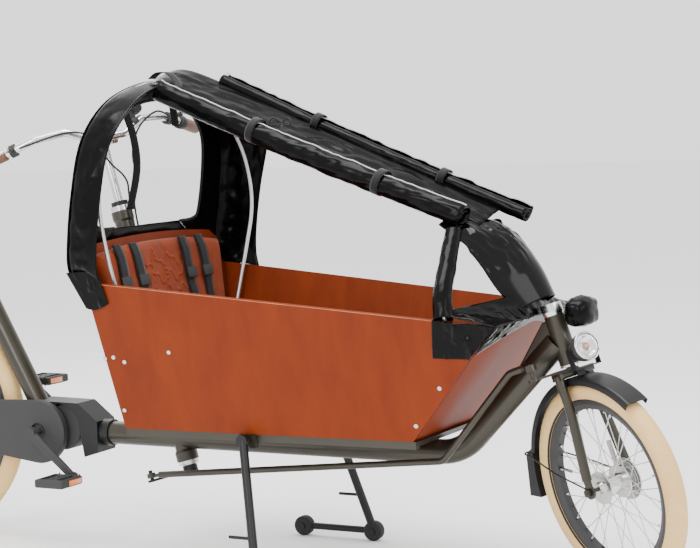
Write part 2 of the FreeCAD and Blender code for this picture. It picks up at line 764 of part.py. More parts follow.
def window_face():
    """The rear window's face: a straight sill and an arched top."""
    half = [Vector(-5, 236, 880), Vector(-5, 239, 1000), Vector(-5, 215, 1090), Vector(-5, 130, 1154)]
    top = Part.BSplineCurve()
    top.interpolate([Vector(p.x, -p.y, p.z) for p in half] + [Vector(-5, 0, 1176)] + half[::-1])
    sill = [Vector(-5, 236, 880), Vector(-5, 205, 856), Vector(-5, -205, 856), Vector(-5, -236, 880)]
    lines = [Part.LineSegment(a, b).toShape() for a, b in zip(sill, sill[1:])]
    return Part.Face(Part.Wire([top.toShape()] + lines))


def make_rear_wall():
    """The canopy's leaning rear wall with its window, its side strips and the cuffs below."""
    cloth = mm("fabric")
    foot_z = 832
    lean = Placement(Vector(-202, 0, foot_z), Rotation(LEFT, 8))
    lean = lean * Placement(Vector(0, 0, -foot_z), Rotation())
    wall = arch_face(0, 322, 742, 0).extrude(Vector(cloth, 0, 0))
    window = window_face().extrude(Vector(cloth + 10, 0, 0))
    strips = []
    for side, depth in ((-1, 88), (1, 156)):
        outer = arch_face(0, 322, 742, 0).extrude(Vector(depth, 0, 0))
        inner = arch_face(0, 322 - cloth, 742, -cloth).extrude(Vector(depth, 0, 0))
        half = block(Vector(-100, 0, 700), Vector(300, 500, 1300))
        strips.append(outer.cut(inner).common(half if side > 0 else mirrored(half)))
    leaning = joined([wall.cut(window)] + strips)
    leaning.Placement = lean
    cuffs = []
    for side in SIDES.values():
        outward = panel_place(side).Rotation.multVec(UP)
        outline = [(-204, 748), (-128, 745), (-112, 684), (-150, 668), (-176, 670)]
        face = polygon([Vector(x, side * side_half(x, z), z) + outward * 0.8 for x, z in outline])
        cuffs.append(face.extrude(outward * cloth))
    cloth_shape = leaning.fuse(cuffs)
    room = mm("pole_radius") + 0.5
    for pole in [rod(hoop_route(), room, None)] + ridge_poles(room):
        cloth_shape = cloth_shape.cut(pole)
    shaped("canopy_rear_wall", cloth_shape)


def make_rolls():
    """Both side panels rolled up along the ridge."""
    for name, radius, start, end in (
            ("right", "near_roll_radius", Vector(-70, -82, 1186), Vector(696, -86, 895)),
            ("left", "far_roll_radius", Vector(8, 68, 1216), Vector(832, 64, 874))):
        roll = cylinder(f"sizes.{radius}", f"{(end - start).Length}", facing(start, end - start))
        keep(f"canopy_roll_{name}", roll)


def make_drape():
    """The roof strip along the ridge, and the front window that hangs from the front hoop."""
    profile = [(732, 862), (790, 850), (840, 798), (880, 728), (906, 668), (898, 663), (871, 722),
               (831, 790), (784, 841), (732, 852)]
    half = [(700, 110), (790, 110), (925, 52)]
    corners = [Vector(x, -y, 600) for x, y in half] + [Vector(x, y, 600) for x, y in half[::-1]]
    room = mm("pole_radius") + 0.5
    pole = rod(front_hoop_route(), room, None)
    window = upright(profile, 92).common(polygon(corners).extrude(UP * 320)).cut(pole)
    for ridge in ridge_poles(room):
        window = window.cut(ridge)
    way = Vector(856, 0, -360).normalize()
    over = Vector(-way.z, 0, way.x)
    edge = [Vector(-110, y, 1206) + over * lift for y, lift in ((-44, 14), (40, 42), (40, 46), (-44, 18))]
    roof = polygon(edge).extrude(way * 860)
    shaped("canopy_front_window", Part.makeCompound([window, roof.cut(pole)]))


def make_apron():
    """Fabric skirt over the front of the rim, its two pole sleeves and the nose pocket."""
    pieces = []
    for side in SIDES.values():
        place = panel_place(side)
        outward = place.Rotation.multVec(UP)
        outline = [(736, rim_z(736) + 6), (870, rim_z(870) + 6), (808, 566), (728, 566)]
        face = polygon([Vector(x, side * side_half(x, z), z) + outward * 0.8 for x, z in outline])
        pieces.append(face.extrude(outward * 5))
        foot, top = Vector(750, side * 250, 700), Vector(733, side * 146, 810)
        sleeve = Part.makeCylinder(21, (top - foot).Length, foot, top - foot)
        pieces.append(sleeve.cut(rod(front_hoop_route(), mm("pole_radius") + 0.4, None)))
    low = Vector(mm("bottom_front_x"), 0, mm("floor_z"))
    high = Vector(mm("rim_front_x"), 0, mm("rim_front_z"))
    way = (high - low).normalize()
    ahead = Vector(way.z, 0, -way.x)
    base = high + ahead * 11 + way * 4
    outline = [base + Vector(0, -244, 0), base + Vector(0, 244, 0), base - way * 84 + Vector(0, 229, 0),
               base - way * 24 + Vector(0, 60, 0), base - way * 24 + Vector(0, -60, 0),
               base - way * 84 + Vector(0, -229, 0)]
    front = polygon(outline).extrude(ahead * 5)
    head = Part.makeCylinder(28, 200, Vector(0, 0, 280))
    head.Placement = head_frame()
    pieces.append(front.cut(head).cut(upright(GUSSET, 14)))
    pocket = block(Vector(956, -52, 616), Vector(1024, 52, 690))
    pieces.append(pocket.makeFillet(12, pocket.Edges))
    shaped("canopy_apron", Part.makeCompound(pieces))


# ---------------------------------------------------------------- wheels

def make_wheel(end, radius, bead, place):
    """Tyre, rim, hub and spokes of one wheel, all turned about the axle."""
    ring = doc.addObject("Part::Torus", "Ring")
    ring.setExpression("Radius1", f"sizes.{radius} - sizes.tyre_section")
    ring.setExpression("Radius2", "sizes.tyre_section")
    seat = cylinder(f"sizes.{bead} + 3", "sizes.tyre_section * 3", Placement(Vector(0, 0, -37), Rotation()))
    tyre = doc.addObject("Part::Cut", "Tyre")
    tyre.Base = ring
    tyre.Tool = seat
    keep(f"{end}_tyre", tyre, place)
    rim = turned_body("Rim", [
        ((bead, 2.6), -15), ((bead, 2.6), -12.5), ((bead, -4), -11), ((bead, -4), 11), ((bead, 2.6), 12.5),
        ((bead, 2.6), 15), ((bead, -7), 15), ((bead, -20), 9), ((bead, -20), -9), ((bead, -7), -15)])
    keep(f"{end}_rim", rim, place)
    spread = 28 if end == "front" else 30
    bore, flange, middle = ("axle_radius", 0.3), ("flange_radius", 0), ("hub_radius", 0)
    sprocket = ("sprocket_radius", 0)
    driver = [(13, -40)]
    if end == "rear":
        driver = [(15, -56), (15, -53.5), (sprocket, -53.5), (sprocket, -50.5), (15, -50.5), (15, -40)]
    shell = [(16, -spread - 2), (flange, -spread - 2), (flange, -spread + 2), (middle, -spread + 4),
             (middle, spread - 4), (flange, spread - 2), (flange, spread + 2), (16, spread + 2), (13, 40)]
    hub = turned_body("Hub", [(bore, driver[0][1])] + driver + shell + [(bore, 40)])
    keep(f"{end}_hub", hub, place)
    count = int(mm("spoke_count"))
    spokes = []
    for index in range(count):
        side = 1 if index % 2 else -1
        turn = 2 * math.pi * index / count
        slant = math.radians(38) * (1 if index % 4 < 2 else -1)
        inner = mm("flange_radius") - 3
        outer = mm(bead) - 18
        start = Vector(inner * math.cos(turn + slant), inner * math.sin(turn + slant), side * spread)
        stop = Vector(outer * math.cos(turn), outer * math.sin(turn), side * 4)
        spokes.append(Part.makeCylinder(mm("spoke_radius"), (stop - start).Length, start, stop - start))
    shaped(f"{end}_spokes", Part.makeCompound(spokes), place)


def make_wheels():
    """Both wheels on their axles."""
    across = Placement(Vector(), Rotation(FORWARD, -90))
    make_wheel("front", "front_wheel_radius", "front_bead_radius", fork_frame() * across)
    rear = Placement(Vector(mm("rear_axle_x"), 0, mm("rear_axle_z")), Rotation()) * across
    make_wheel("rear", "rear_wheel_radius", "rear_bead_radius", rear)


def guard(radius, half_width, start, end, thickness=2.2, depth=16):
    """A curved mudguard round an axle along Y: start and end are degrees above forward."""
    outer = across_cylinder(radius + thickness, 2 * half_width, 0, 0)
    inner = across_cylinder(radius, 2 * (half_width - thickness), 0, 0)
    core = across_cylinder(radius - depth, 2 * half_width + 2, 0, 0)
    shell = outer.makeFillet(8, [edge for edge in outer.Edges if len(edge.Vertexes) == 1])
    inner = inner.makeFillet(6, [edge for edge in inner.Edges if len(edge.Vertexes) == 1])
    shell = shell.cut(inner).cut(core)
    reach = 2 * radius
    wedge = [Vector()]
    steps = 6
    for step in range(steps + 1):
        angle = math.radians(start + (end - start) * step / steps)
        wedge.append(Vector(reach * math.cos(angle), 0, reach * math.sin(angle)))
    sector = polygon(wedge)
    sector.translate(Vector(0, -half_width - 2, 0))
    return shell.common(sector.extrude(Vector(0, 2 * half_width + 4, 0)))


def lamp_bracket():
    """The bent strip and the ears that carry the headlamp, bolted on ahead of the crown."""
    x, half, thick = 59, 37, 2.5
    floor = 274
    pieces = [block(Vector(29.5, -11, 258), Vector(32, 11, floor + 3)),
              block(Vector(30, -11, floor), Vector(60, 11, floor + 3)),
              block(Vector(x - 9, -half, floor), Vector(x + 9, half, floor + 3))]
    for y in (-half, half - thick):
        pieces.append(block(Vector(x - 9, y, floor), Vector(x + 9, y + thick, LAMP_PIVOT)))
        pieces.append(Part.makeCylinder(9, thick, Vector(x, y, LAMP_PIVOT), LEFT))
    return joined(pieces)


def make_front_mudguard():
    """Front mudguard with its rubber flap and wire stays, and the lamp bracket."""
    shell = guard(260, 31, 40, 152)
    bore = Part.makeCylinder(13, 40, Vector(0, 0, 245))
    flap = upright([(-232, 128), (-262, 116), (-300, 18), (-236, 2), (-240, 60)], 24)
    flap = flap.cut(Part.makeCylinder(257.5, 80, Vector(0, -40, 0), LEFT))
    stays = []
    for side in SIDES.values():
        route = [Vector(-2, side * 64, 6), Vector(-120, side * 56, 58), Vector(-236, side * 33, 112)]
        stays.append(rod(route, 2, 40))
    route = [Vector(-230, -33.5, 109.5), Vector(-254, -36, 121), Vector(-254, 36, 121),
             Vector(-230, 33.5, 109.5)]
    bridge = rod(route, 2, 8)
    pieces = [shell.cut(bore), flap, bridge, lamp_bracket()] + stays
    shaped("front_mudguard", Part.makeCompound(pieces), fork_frame())


# ---------------------------------------------------------------- fork

def make_fork():
    """Crown, blades, dropouts, steerer, axle with its nuts, and the steering lever."""
    crown = block(Vector(-22, -50, 263), Vector(22, 50, 279))
    crown = crown.makeFillet(6, [edge for edge in crown.Edges if abs(edge.CenterOfMass.x) > 21])
    steerer = Part.makeCylinder(12.4, 140, Vector(0, 0, 275))
    race = Part.makeCylinder(17, 5, Vector(0, 0, 279))
    pieces = [crown, steerer, race]
    for side in SIDES.values():
        pieces.append(rod(blade_route(side), 11.5, 300))
        plate = Part.makeCylinder(17, 6, Vector(0, side * 61 - 3, 0), LEFT)
        pieces.append(joined([plate, block(Vector(-9, side * 61 - 3, 0), Vector(13, side * 61 + 3, 34))]))
    axle = Part.makeCylinder(mm("axle_radius"), 148, Vector(0, -74, 0), LEFT)
    nuts = []
    for y in (-73, 65):
        nuts.append(Part.makeCylinder(9, 8, Vector(0, y, 0), LEFT))
    reach = mm("lever_length")
    arm = block(Vector(-11, -reach, 279.2), Vector(11, -10, 285))
    tip = Part.makeCylinder(13, 5.8, Vector(0, -reach, 279.2))
    stud = Part.makeCylinder(4.2, 40, Vector(0, -reach, 280))
    ball = Part.makeSphere(7, Vector(0, -reach, 311))
    lever = joined([arm, tip, stud, ball])
    shaped("fork", joined(pieces + [axle] + nuts + [lever]), fork_frame())


def make_front_brake():
    """Roller brake on the left of the front hub, its cooling disc and reaction arm."""
    drum = Part.makeCylinder(37, 12, Vector(0, 42.5, 0), LEFT)
    disc = Part.makeCylinder(50, 2.4, Vector(0, 48, 0), LEFT)
    fins = [Part.makeCylinder(46, 1.6, Vector(0, y, 0), LEFT) for y in (44, 52.6)]
    arm = block(Vector(-34, 50, 0), Vector(-20, 54, 96))
    bore = Part.makeCylinder(mm("axle_radius") + 0.3, 60, Vector(0, 30, 0), LEFT)
    leg = rod(blade_route(1), 11.9, 300)
    shaped("front_brake", joined([drum, disc, arm] + fins).cut(bore).cut(leg), fork_frame())


def lamp_frame():
    """The headlamp's frame on the fork: +Z out of its lens."""
    tilt = Placement(Vector(64, 0, LAMP_PIVOT), Rotation(LEFT, 84))
    return fork_frame() * tilt


def make_headlamp():
    """Lamp shell, and the lens in front of it."""
    shell = turned_body("Lamp", [
        (0, -34), (13, -33), (24, -20), (31, -2), (33, 10), (33, 21), (30.4, 21), (30.4, 14), (0, 14)])
    keep("headlamp_body", shell, lamp_frame())
    lens = turned_body("Lens", [(0, 14.3), (30, 14.3), (30, 21), (24, 25.5), (12, 28.5), (0, 29.5)])
    keep("headlamp_lens", lens, lamp_frame())


# ---------------------------------------------------------------- steering

def make_column_shaft():
    """Steering shaft through the column, and the lever clamped to its foot."""
    radius = mm("shaft_radius")
    reach = mm("lever_length")
    shaft = Part.makeCylinder(radius, 722, Vector(0, 0, -30))
    lock = Part.makeCylinder(22, 12, Vector(0, 0, 681.5))
    hub = Part.makeCylinder(19, 18, Vector(0, 0, -28.5))
    arm = block(Vector(-10, -reach, -26.5), Vector(10, 0, -20.5))
    tip = Part.makeCylinder(12, 6, Vector(0, -reach, -26.5))
    stud = Part.makeCylinder(5, 30, Vector(0, -reach, -26.5))
    bore = Part.makeCylinder(11.2, 110, Vector(0, 0, 583))
    shaped("column_shaft", joined([shaft, lock, hub, arm, tip, stud]).cut(bore), steered_frame())


def bar_point(x, y, z):
    """A point of the handlebar, from the middle of its clamp."""
    return Vector(mm("stem_reach") + x, y, mm("stem_height") + z)


def bar_route():
    """The handlebar's route from its right end to its left end."""
    half = [(-146, 325, 8), (-70, 240, 24), (-34, 184, 37), (0, 108, 37), (12, 46, 4)]
    return ([bar_point(x, -y, z) for x, y, z in half] + [bar_point(x, y, z) for x, y, z in half[::-1]])


def make_stem():
    """Quill stem with its reach and the split bar clamp."""
    height, reach = mm("stem_height"), mm("stem_reach")
    quill = rod([Vector(0, 0, 600), Vector(0, 0, height - 2), Vector(reach, 0, height)], 11.1, 24)
    clamp = Part.makeCylinder(18, 44, bar_point(0, -22, 0), LEFT)
    collar = Part.makeCone(13, 15, 26, Vector(reach - 40, 0, height - 1), FORWARD)
    bolt = Part.makeCylinder(4, 30, bar_point(18, 0, -15))
    bar = rod(bar_route(), mm("bar_radius") + 0.05, 30)
    shaped("stem", joined([quill, clamp, collar, bolt]).cut(bar), steered_frame())


def make_handlebar():
    """The raised, swept-back handlebar."""
    shaped("handlebar", rod(bar_route(), mm("bar_radius"), 30), steered_frame())


def along_bar(side, start, end):
    """Two points on the bar's straight end, by distance from the bar's tip."""
    tip = bar_point(-146, side * 325, 8)
    way = bar_point(-70, side * 240, 24) - tip
    way.normalize()
    return tip + way * start, tip + way * end


def make_grips():
    """Leather grips with end rings."""
    grips = []
    for side in SIDES.values():
        start, end = along_bar(side, -4, 106 if side < 0 else 84)
        grip = Part.makeCylinder(mm("grip_radius"), (end - start).Length, start, end - start)
        grip = grip.makeFillet(4, [edge for edge in grip.Edges if len(edge.Vertexes) == 1])
        inner, _ = along_bar(side, 0, 1)
        grips.append(grip.cut(Part.makeCylinder(mm("bar_radius") + 0.05, 140, inner, end - start)))
    shaped("grips", Part.makeCompound(grips), steered_frame())


def control_sites():
    """Where each brake lever's perch sits on the bar, as (place, direction along the bar)."""
    sites = {}
    for name, side in SIDES.items():
        start = 118 if side < 0 else 148
        low, high = along_bar(side, start, start + 16)
        if side > 0:
            low = bar_point(-52, 212, 30)
            high = low + (bar_point(-34, 184, 37) - bar_point(-70, 240, 24)).normalize() * 16
        sites[name] = (low, (high - low).normalize())
    return sites


def make_bar_controls():
    """Brake perches with their pivots, and the bell and display on the left arm."""
    pieces = []
    for name, (low, way) in control_sites().items():
        band = Part.makeCylinder(16.5, 16, low, way)
        ahead = Vector(way.y, -way.x, 0).normalize()
        if ahead.x < 0:
            ahead = ahead * -1
        horn = Part.makeCylinder(6.5, 34, low + way * 8 + ahead * 12, ahead)
        piece = joined([band, horn]).cut(rod(bar_route(), mm("bar_radius") + 0.05, 30))
        pieces.append(piece)
    post = Part.makeCylinder(7, 30, bar_point(4, 84, 34))
    band = Part.makeCylinder(15, 16, bar_point(4, 76, 27), bar_point(0, 108, 37) - bar_point(12, 46, 4))
    shell = Part.makeCylinder(30, 17, bar_point(4, 84, 58), Vector(-0.35, 0.1, 1))
    shell = shell.makeFillet(5, [edge for edge in shell.Edges if len(edge.Vertexes) == 1])
    unit = joined([post, band, shell]).cut(rod(bar_route(), mm("bar_radius") + 0.05, 30))
    pieces.append(unit)
    shaped("bar_controls", Part.makeCompound(pieces), steered_frame())


def make_brake_levers():
    """Two hand levers, each on its perch's pivot and running ahead of the grip."""
    for name, (low, way) in control_sites().items():
        ahead = Vector(way.y, -way.x, 0).normalize()
        if ahead.x < 0:
            ahead = ahead * -1
        pivot = low + way * 8 + ahead * 54
        out = way * -1
        down = Vector(0, 0, -1)
        eye = Part.makeCylinder(7, 9, pivot + down * -4.5, down)
        blade = rod([pivot, pivot + out * 42 + ahead * 6 + down * 4, pivot + out * 84 - ahead * 1 + down * 8,
                     pivot + out * 120 + ahead * 2 + down * 9], 4.6, 20)
        ball = Part.makeSphere(7, pivot + out * 120 + ahead * 2 + down * 9)
        shaped(f"brake_lever_{name}", joined([eye, blade, ball]), steered_frame())


def make_twist_shifter():
    """Ribbed twist shifter inboard of the left grip."""
    start, end = along_bar(1, 84.8, 106)
    sleeve = Part.makeCylinder(18.5, (end - start).Length, start, end - start)
    sleeve = sleeve.makeFillet(3, [edge for edge in sleeve.Edges if len(edge.Vertexes) == 1])
    bore = Part.makeCylinder(mm("bar_radius") + 0.3, 60, start - (end - start), end - start)
    shaped("twist_shifter", sleeve.cut(bore), steered_frame())


def make_rod():
    """The steering rod: along under the box on the right, then up beside the riser."""
    rear = steered_frame().multVec(Vector(0, -mm("lever_length"), -8))
    front = fork_frame().multVec(Vector(0, -mm("lever_length"), 311))
    y = rear.y
    route = [rear + Vector(26, 0, 2), Vector(672, y, 302), Vector(846, y, 516), front - Vector(20, 0, 1)]
    steel = rod(route, 8, 28)
    eye = Part.makeCylinder(11, 12, Vector(0, -mm("lever_length"), -16))
    eye = eye.cut(Part.makeCylinder(5.6, 12, Vector(0, -mm("lever_length"), -16)))
    eye.Placement = steered_frame()
    neck = rod([rear + Vector(8.6, 0, -2), rear + Vector(28, 0, 2)], 4.5)
    cup = Part.makeCylinder(15, 15, Vector(0, -mm("lever_length"), 303.5))
    cup = cup.cut(Part.makeCylinder(12.2, 15, Vector(0, -mm("lever_length"), 303.5)))
    cup.Placement = fork_frame()
    join = rod([front - Vector(24, 0, 1), front - Vector(12.8, 0, 0.6)], 6)
    shaped("steer_rod", joined([steel, eye, neck, cup, join]))


def cable_routes():
    """Each cable's route in the row's own frame, from the bar to the frame."""
    place = steered_frame()
    sites = control_sites()

    def bar(x, y, z):
        return place.multVec(bar_point(x, y, z))

    def column(x, y, z):
        return column_frame().multVec(Vector(x, y, z))

    clamp = Vector(mm("stem_reach"), 0, mm("stem_height"))
    r = sites["right"][0] - clamp
    s = sites["left"][0] - clamp
    return {
        "right": [bar(r.x + 34, r.y + 12, r.z), bar(r.x + 66, r.y + 52, r.z + 4), bar(60, -120, 30),
                  bar(58, -58, 6), bar(30, -30, -60), column(54, -14, 744), column(40, -8, 700),
                  column(33, -8, 650), column(31.5, -8, 600)],
        "left": [bar(s.x + 30, s.y - 14, s.z + 2), bar(s.x + 76, s.y - 46, s.z + 8), bar(70, 118, 40),
                 bar(66, 62, 8), bar(48, 34, -52), column(62, 18, 752), column(44, 10, 706),
                 column(34, 8, 654), column(31.5, 8, 600)],
    }


def make_cables():
    """Brake cables from the hand levers down to their stops on the column."""
    solids = [cord(f"cable_{name}", route, 2.6) for name, route in cable_routes().items()]
    shaped("control_cables", Part.makeCompound(solids))


# ---------------------------------------------------------------- drive and rear end

def make_crankset():
    """Crank axle, both arms and the chainring."""
    drop = math.radians(mm("crank_drop"))
    way = Vector(math.cos(drop), 0, -math.sin(drop))
    centre = Vector(mm("crank_x"), 0, mm("crank_z"))
    offset = mm("crank_offset")
    axle = Part.makeCylinder(mm("spindle_radius"), 2 * offset + 12, centre - Vector(0, offset + 6, 0), LEFT)
    pieces = [axle]
    for side, turn in ((-1, 1), (1, -1)):
        root = centre + Vector(0, side * (offset - 4), 0)
        tip = centre + Vector(0, side * offset, 0) + way * (turn * mm("crank_length"))
        arm = Part.makeCone(13, 10, (tip - root).Length, root, tip - root)
        slab = block(Vector(-400, -6.5, -400), Vector(400, 6.5, 400))
        slab.translate(centre + Vector(0, side * offset, 0))
        arm = arm.common(slab)
        boss = Part.makeCylinder(17, 16, root - Vector(0, 8 - side * 2, 0), LEFT)
        end = Part.makeCylinder(13, 13, tip - Vector(0, 6.5, 0), LEFT)
        hole = Part.makeCylinder(6, 30, tip - Vector(0, 15, 0), LEFT)
        pieces.append(joined([arm, boss, end]).cut(hole))
    y = -mm("chain_line")
    ring = Part.makeCylinder(mm("chainring_radius"), 3, centre + Vector(0, y - 1.5, 0), LEFT)
    for index in range(5):
        angle = 2 * math.pi * index / 5
        place = centre + Vector(42 * math.cos(angle), y - 10, 42 * math.sin(angle))
        ring = ring.cut(Part.makeCylinder(14, 20, place, LEFT))
    sleeve = Part.makeCylinder(15, 12, centre + Vector(0, y - 3, 0), LEFT)
    shaped("crankset", joined(pieces + [ring, sleeve]))


def make_pedals():
    """Two block pedals, each turning on its own axle in the crank arm."""
    drop = math.radians(mm("crank_drop"))
    way = Vector(math.cos(drop), 0, -math.sin(drop)) * mm("crank_length")
    for (name, side), turn in zip(SIDES.items(), (1, -1)):
        eye = Vector(mm("crank_x"), 0, mm("crank_z")) + way * turn
        start = mm("crank_offset") - 6
        axle = Part.makeCylinder(5.9, 112, eye + Vector(0, side * start, 0), Vector(0, side, 0))
        frame_piece = block(Vector(-44, -46, -11), Vector(44, 46, 11))
        frame_piece = frame_piece.makeFillet(5, frame_piece.Edges)
        for x in (-26, 26):
            frame_piece = frame_piece.cut(block(Vector(x - 9, -34, -20), Vector(x + 9, 34, 20)))
        frame_piece.translate(eye + Vector(0, side * (mm("pedal_offset") + 4), 0))
        shaped(f"pedal_{name}", joined([axle, frame_piece]))


def make_rear_mudguard():
    """Rear mudguard with its two wire stays."""
    shell = guard(336, 31, 44, 196)
    stays = []
    for side in SIDES.values():
        route = [Vector(-4, side * 70, -14), Vector(-170, side * 52, 66), Vector(-322, side * 33, 84)]
        stays.append(rod(route, 2, 60))
    place = Placement(Vector(mm("rear_axle_x"), 0, mm("rear_axle_z")), Rotation())
    shaped("rear_mudguard", Part.makeCompound([shell] + stays), place)


def make_rear_axle():
    """Rear axle with its nuts, and the roller brake with its reaction arm."""
    centre = Vector(mm("rear_axle_x"), 0, mm("rear_axle_z"))
    axle = Part.makeCylinder(mm("axle_radius"), 164, centre - Vector(0, 82, 0), LEFT)
    nuts = [Part.makeCylinder(9, 8, centre + Vector(0, y, 0), LEFT) for y in (-80, 72)]
    drum = Part.makeCylinder(38, 13, centre + Vector(0, 42.5, 0), LEFT)
    disc = Part.makeCylinder(52, 2.4, centre + Vector(0, 47, 0), LEFT)
    arm = block(Vector(0, 55.6, -8), Vector(120, 59, 8))
    arm.translate(centre)
    sleeve = Part.makeCylinder(16, 12, centre + Vector(0, 50, 0), LEFT)
    shaped("rear_brake", joined([axle, drum, disc, sleeve] + nuts).fuse(arm))


def make_carrier():
    """Rear carrier: deck hoops, cross bars, battery rails and legs to the dropouts."""
    deck = DECK_Z
    pieces = []
    for side in SIDES.values():
        hoop = [Vector(-806, side * 30, 704), Vector(-850, side * 62, deck), Vector(-1200, side * 62, deck),
                Vector(-1222, side * 40, deck - 8), Vector(-1222, 0, deck - 8)]
        pieces.append(rod(hoop, 6, 14))
        foot = Vector(-955, side * 78, 356)
        pieces.append(rod([foot, Vector(-985, side * 76, 560), Vector(-1010, side * 62, deck)], 5, 60))
        pieces.append(rod([foot, Vector(-1090, side * 74, 590), Vector(-1150, side * 62, deck)], 5, 60))
        pieces.append(block(Vector(-978, side * 78 - 2, 318), Vector(-932, side * 78 + 2, 364)))
    for x in (-880, -1000, -1110):
        pieces.append(rod([Vector(x, -62, deck), Vector(x, 62, deck)], 4))
    for x in (-850, -1190):
        pieces.append(block(Vector(x - 3, -62, deck - 4), Vector(x + 3, 62, deck + 4)))
    tray = block(Vector(-1190, -54, 674), Vector(-850, 54, 677))
    for x in (-870, -1170):
        for y in (-58, 58):
            pieces.append(block(Vector(x - 8, y - 1.5, 674), Vector(x + 8, y + 1.5, deck)))
    shape = joined(pieces + [tray])
    axle = across_cylinder(mm("axle_radius") + 0.1, 200, mm("rear_axle_x"), mm("rear_axle_z"))
    tube_bore = rod([seat_point(380), seat_point(480)], mm("seat_tube_radius") + 4.2)
    shaped("rear_carrier", shape.cut(axle).cut(tube_bore))


def make_battery():
    """The battery that slides into the carrier from behind."""
    case = block(Vector(-1186, -46, 678.5), Vector(-862, 46, 746))
    lengthwise = [edge for edge in case.Edges if abs(edge.tangentAt(edge.FirstParameter).x) > 0.9]
    case = case.makeFillet(12, lengthwise)
    handle = block(Vector(-1196, -24, 700), Vector(-1184, 24, 722))
    handle = handle.makeFillet(3, [edge for edge in handle.Edges if edge.CenterOfMass.x < -1195])
    shaped("battery", joined([case, handle]))


def make_tail_light():
    """Rear lamp on the mudguard's back."""
    lamp = block(Vector(-10, -34, -24), Vector(14, 34, 24))
    lamp = lamp.makeFillet(6, [edge for edge in lamp.Edges if edge.CenterOfMass.x > -9])
    foot = block(Vector(-22, -14, -12), Vector(-10, 14, 12))
    turn = math.radians(154)
    away = Vector(math.cos(turn), 0, math.sin(turn)) * 350
    lamp = joined([lamp, foot]).cut(Part.makeCylinder(338.3, 200, Vector(-350, -100, 0), LEFT))
    place = Placement(Vector(mm("rear_axle_x"), 0, mm("rear_axle_z")) + away, Rotation(LEFT, -154))
    shaped("tail_light", lamp, place)


# ---------------------------------------------------------------- stand and saddle

def make_stand():
    """Four-footed stand: two outward legs, foot bars and the pivot tube."""
    radius = mm("leg_radius")
    pivot = Vector(mm("stand_x"), 0, mm("stand_z"))
    bore = Part.makeCylinder(8, 2 * mm("stand_half"), pivot - Vector(0, mm("stand_half"), 0), LEFT)
    pieces = [bore]
    for side in SIDES.values():
        top = pivot + Vector(0, side * mm("stand_half"), 0)
        front = Vector(mm("foot_front_x"), side * mm("foot_half"), mm("foot_radius"))
        rear = Vector(mm("foot_rear_x"), side * mm("foot_half"), mm("foot_radius"))
        way = (front - top).normalize()
        pieces.append(Part.makeCylinder(radius + 4, 18, top - Vector(0, 9, 0), LEFT))
        pieces.append(rod([top, front], radius))
        pieces.append(rod([rear, front], radius - 2))
        peg = top + way * 236
        pieces.append(rod([peg, peg - Vector(64, 0, 0)], 4))
        for foot in (front, rear):
            pieces.append(Part.makeCylinder(9, 36, foot - Vector(0, 18, 0), LEFT))
    shaped("stand_frame", joined(pieces))


def make_stand_feet():
    """Round rubber feet on the stand's four ends."""
    radius = mm("foot_radius")
    feet = []
    for side in SIDES.values():
        for x in (mm("foot_front_x"), mm("foot_rear_x")):
            centre = Vector(x, side * mm("foot_half"), radius)
            foot = Part.makeCylinder(radius, 30, centre - Vector(0, 15, 0), LEFT)
            foot = foot.makeFillet(7, [edge for edge in foot.Edges if len(edge.Vertexes) == 1])
            foot = foot.cut(Part.makeCylinder(9.05, 60, centre - Vector(0, 30, 0), LEFT))
            rear = Vector(mm("foot_rear_x"), centre.y, centre.z)
            front = Vector(mm("foot_front_x"), centre.y, centre.z)
            foot = foot.cut(rod([rear, front], mm("leg_radius") - 1.9))
            top = Vector(mm("stand_x"), side * mm("stand_half"), mm("stand_z"))
            foot = foot.cut(rod([top, front], mm("leg_radius") + 0.1))
            feet.append(foot)
    shaped("stand_feet", Part.makeCompound(feet))


def make_seat_post():
    """Seat post with its clamp and saddle rails."""
    radius = mm("post_radius")
    top = seat_point(678)
    post = rod([seat_point(290), top], radius)
    clamp = Part.makeCylinder(15, 44, top + Vector(6, -22, 4), LEFT)
    rails = []
    z = mm("saddle_z") - 44
    for y in (-22, 22):
        route = [Vector(top.x - 96, y * 1.6, z + 12), Vector(top.x - 50, y, z - 8),
                 Vector(top.x + 40, y, z - 8), Vector(top.x + 118, y * 0.5, z + 16)]
        rails.append(rod(route, 3.5, 20))
    shaped("seat_post", joined([post, clamp] + rails))


def make_saddle():
    """A wide padded saddle as a plain closed form."""
    top = seat_point(678)
    z = mm("saddle_z")
    length = mm("saddle_length")
    sections = []
    stations = ((0.0, 70, 40, 8), (0.22, 92, 52, 0), (0.5, 62, 46, 4), (0.75, 28, 36, 8), (1.0, 17, 26, 14))
    for share, half, depth, drop in stations:
        x = top.x - 118 + length * share
        edge, crown = z - depth * 0.62 - drop, z - drop
        ring = [Vector(x, -half, edge), Vector(x, -half * 0.6, crown - 3), Vector(x, 0, crown - 5),
                Vector(x, half * 0.6, crown - 3), Vector(x, half, edge), Vector(x, 0, crown - 26)]
        sections.append(Part.makePolygon(ring + ring[:1]))
    rail_room = block(Vector(top.x - 60, -30, z - 104), Vector(top.x + 46, 30, z - 40))
    shaped("saddle", Part.makeLoft(sections, True, True).cut(rail_room))


MAKERS = [
    make_main_frame, make_column_tube, make_headset_cups, make_seat_tube, make_rear_stays, make_motor_bracket,
    make_motor, make_chain_case, make_chain, make_platform, make_side_panels, make_front_panel, make_back_panel,
    make_floor, make_panel_bolts, make_seat_back_pad, make_harness, make_bench, make_poles, make_rear_wall,
    make_rolls, make_drape, make_apron, make_wheels, make_front_mudguard, make_fork, make_front_brake,
    make_headlamp, make_column_shaft, make_stem, make_handlebar, make_grips, make_bar_controls,
    make_brake_levers, make_twist_shifter, make_rod, make_cables, make_crankset, make_pedals, make_rear_mudguard,
    make_rear_axle, make_carrier, make_battery, make_tail_light, make_stand, make_stand_feet, make_seat_post,
    make_saddle]


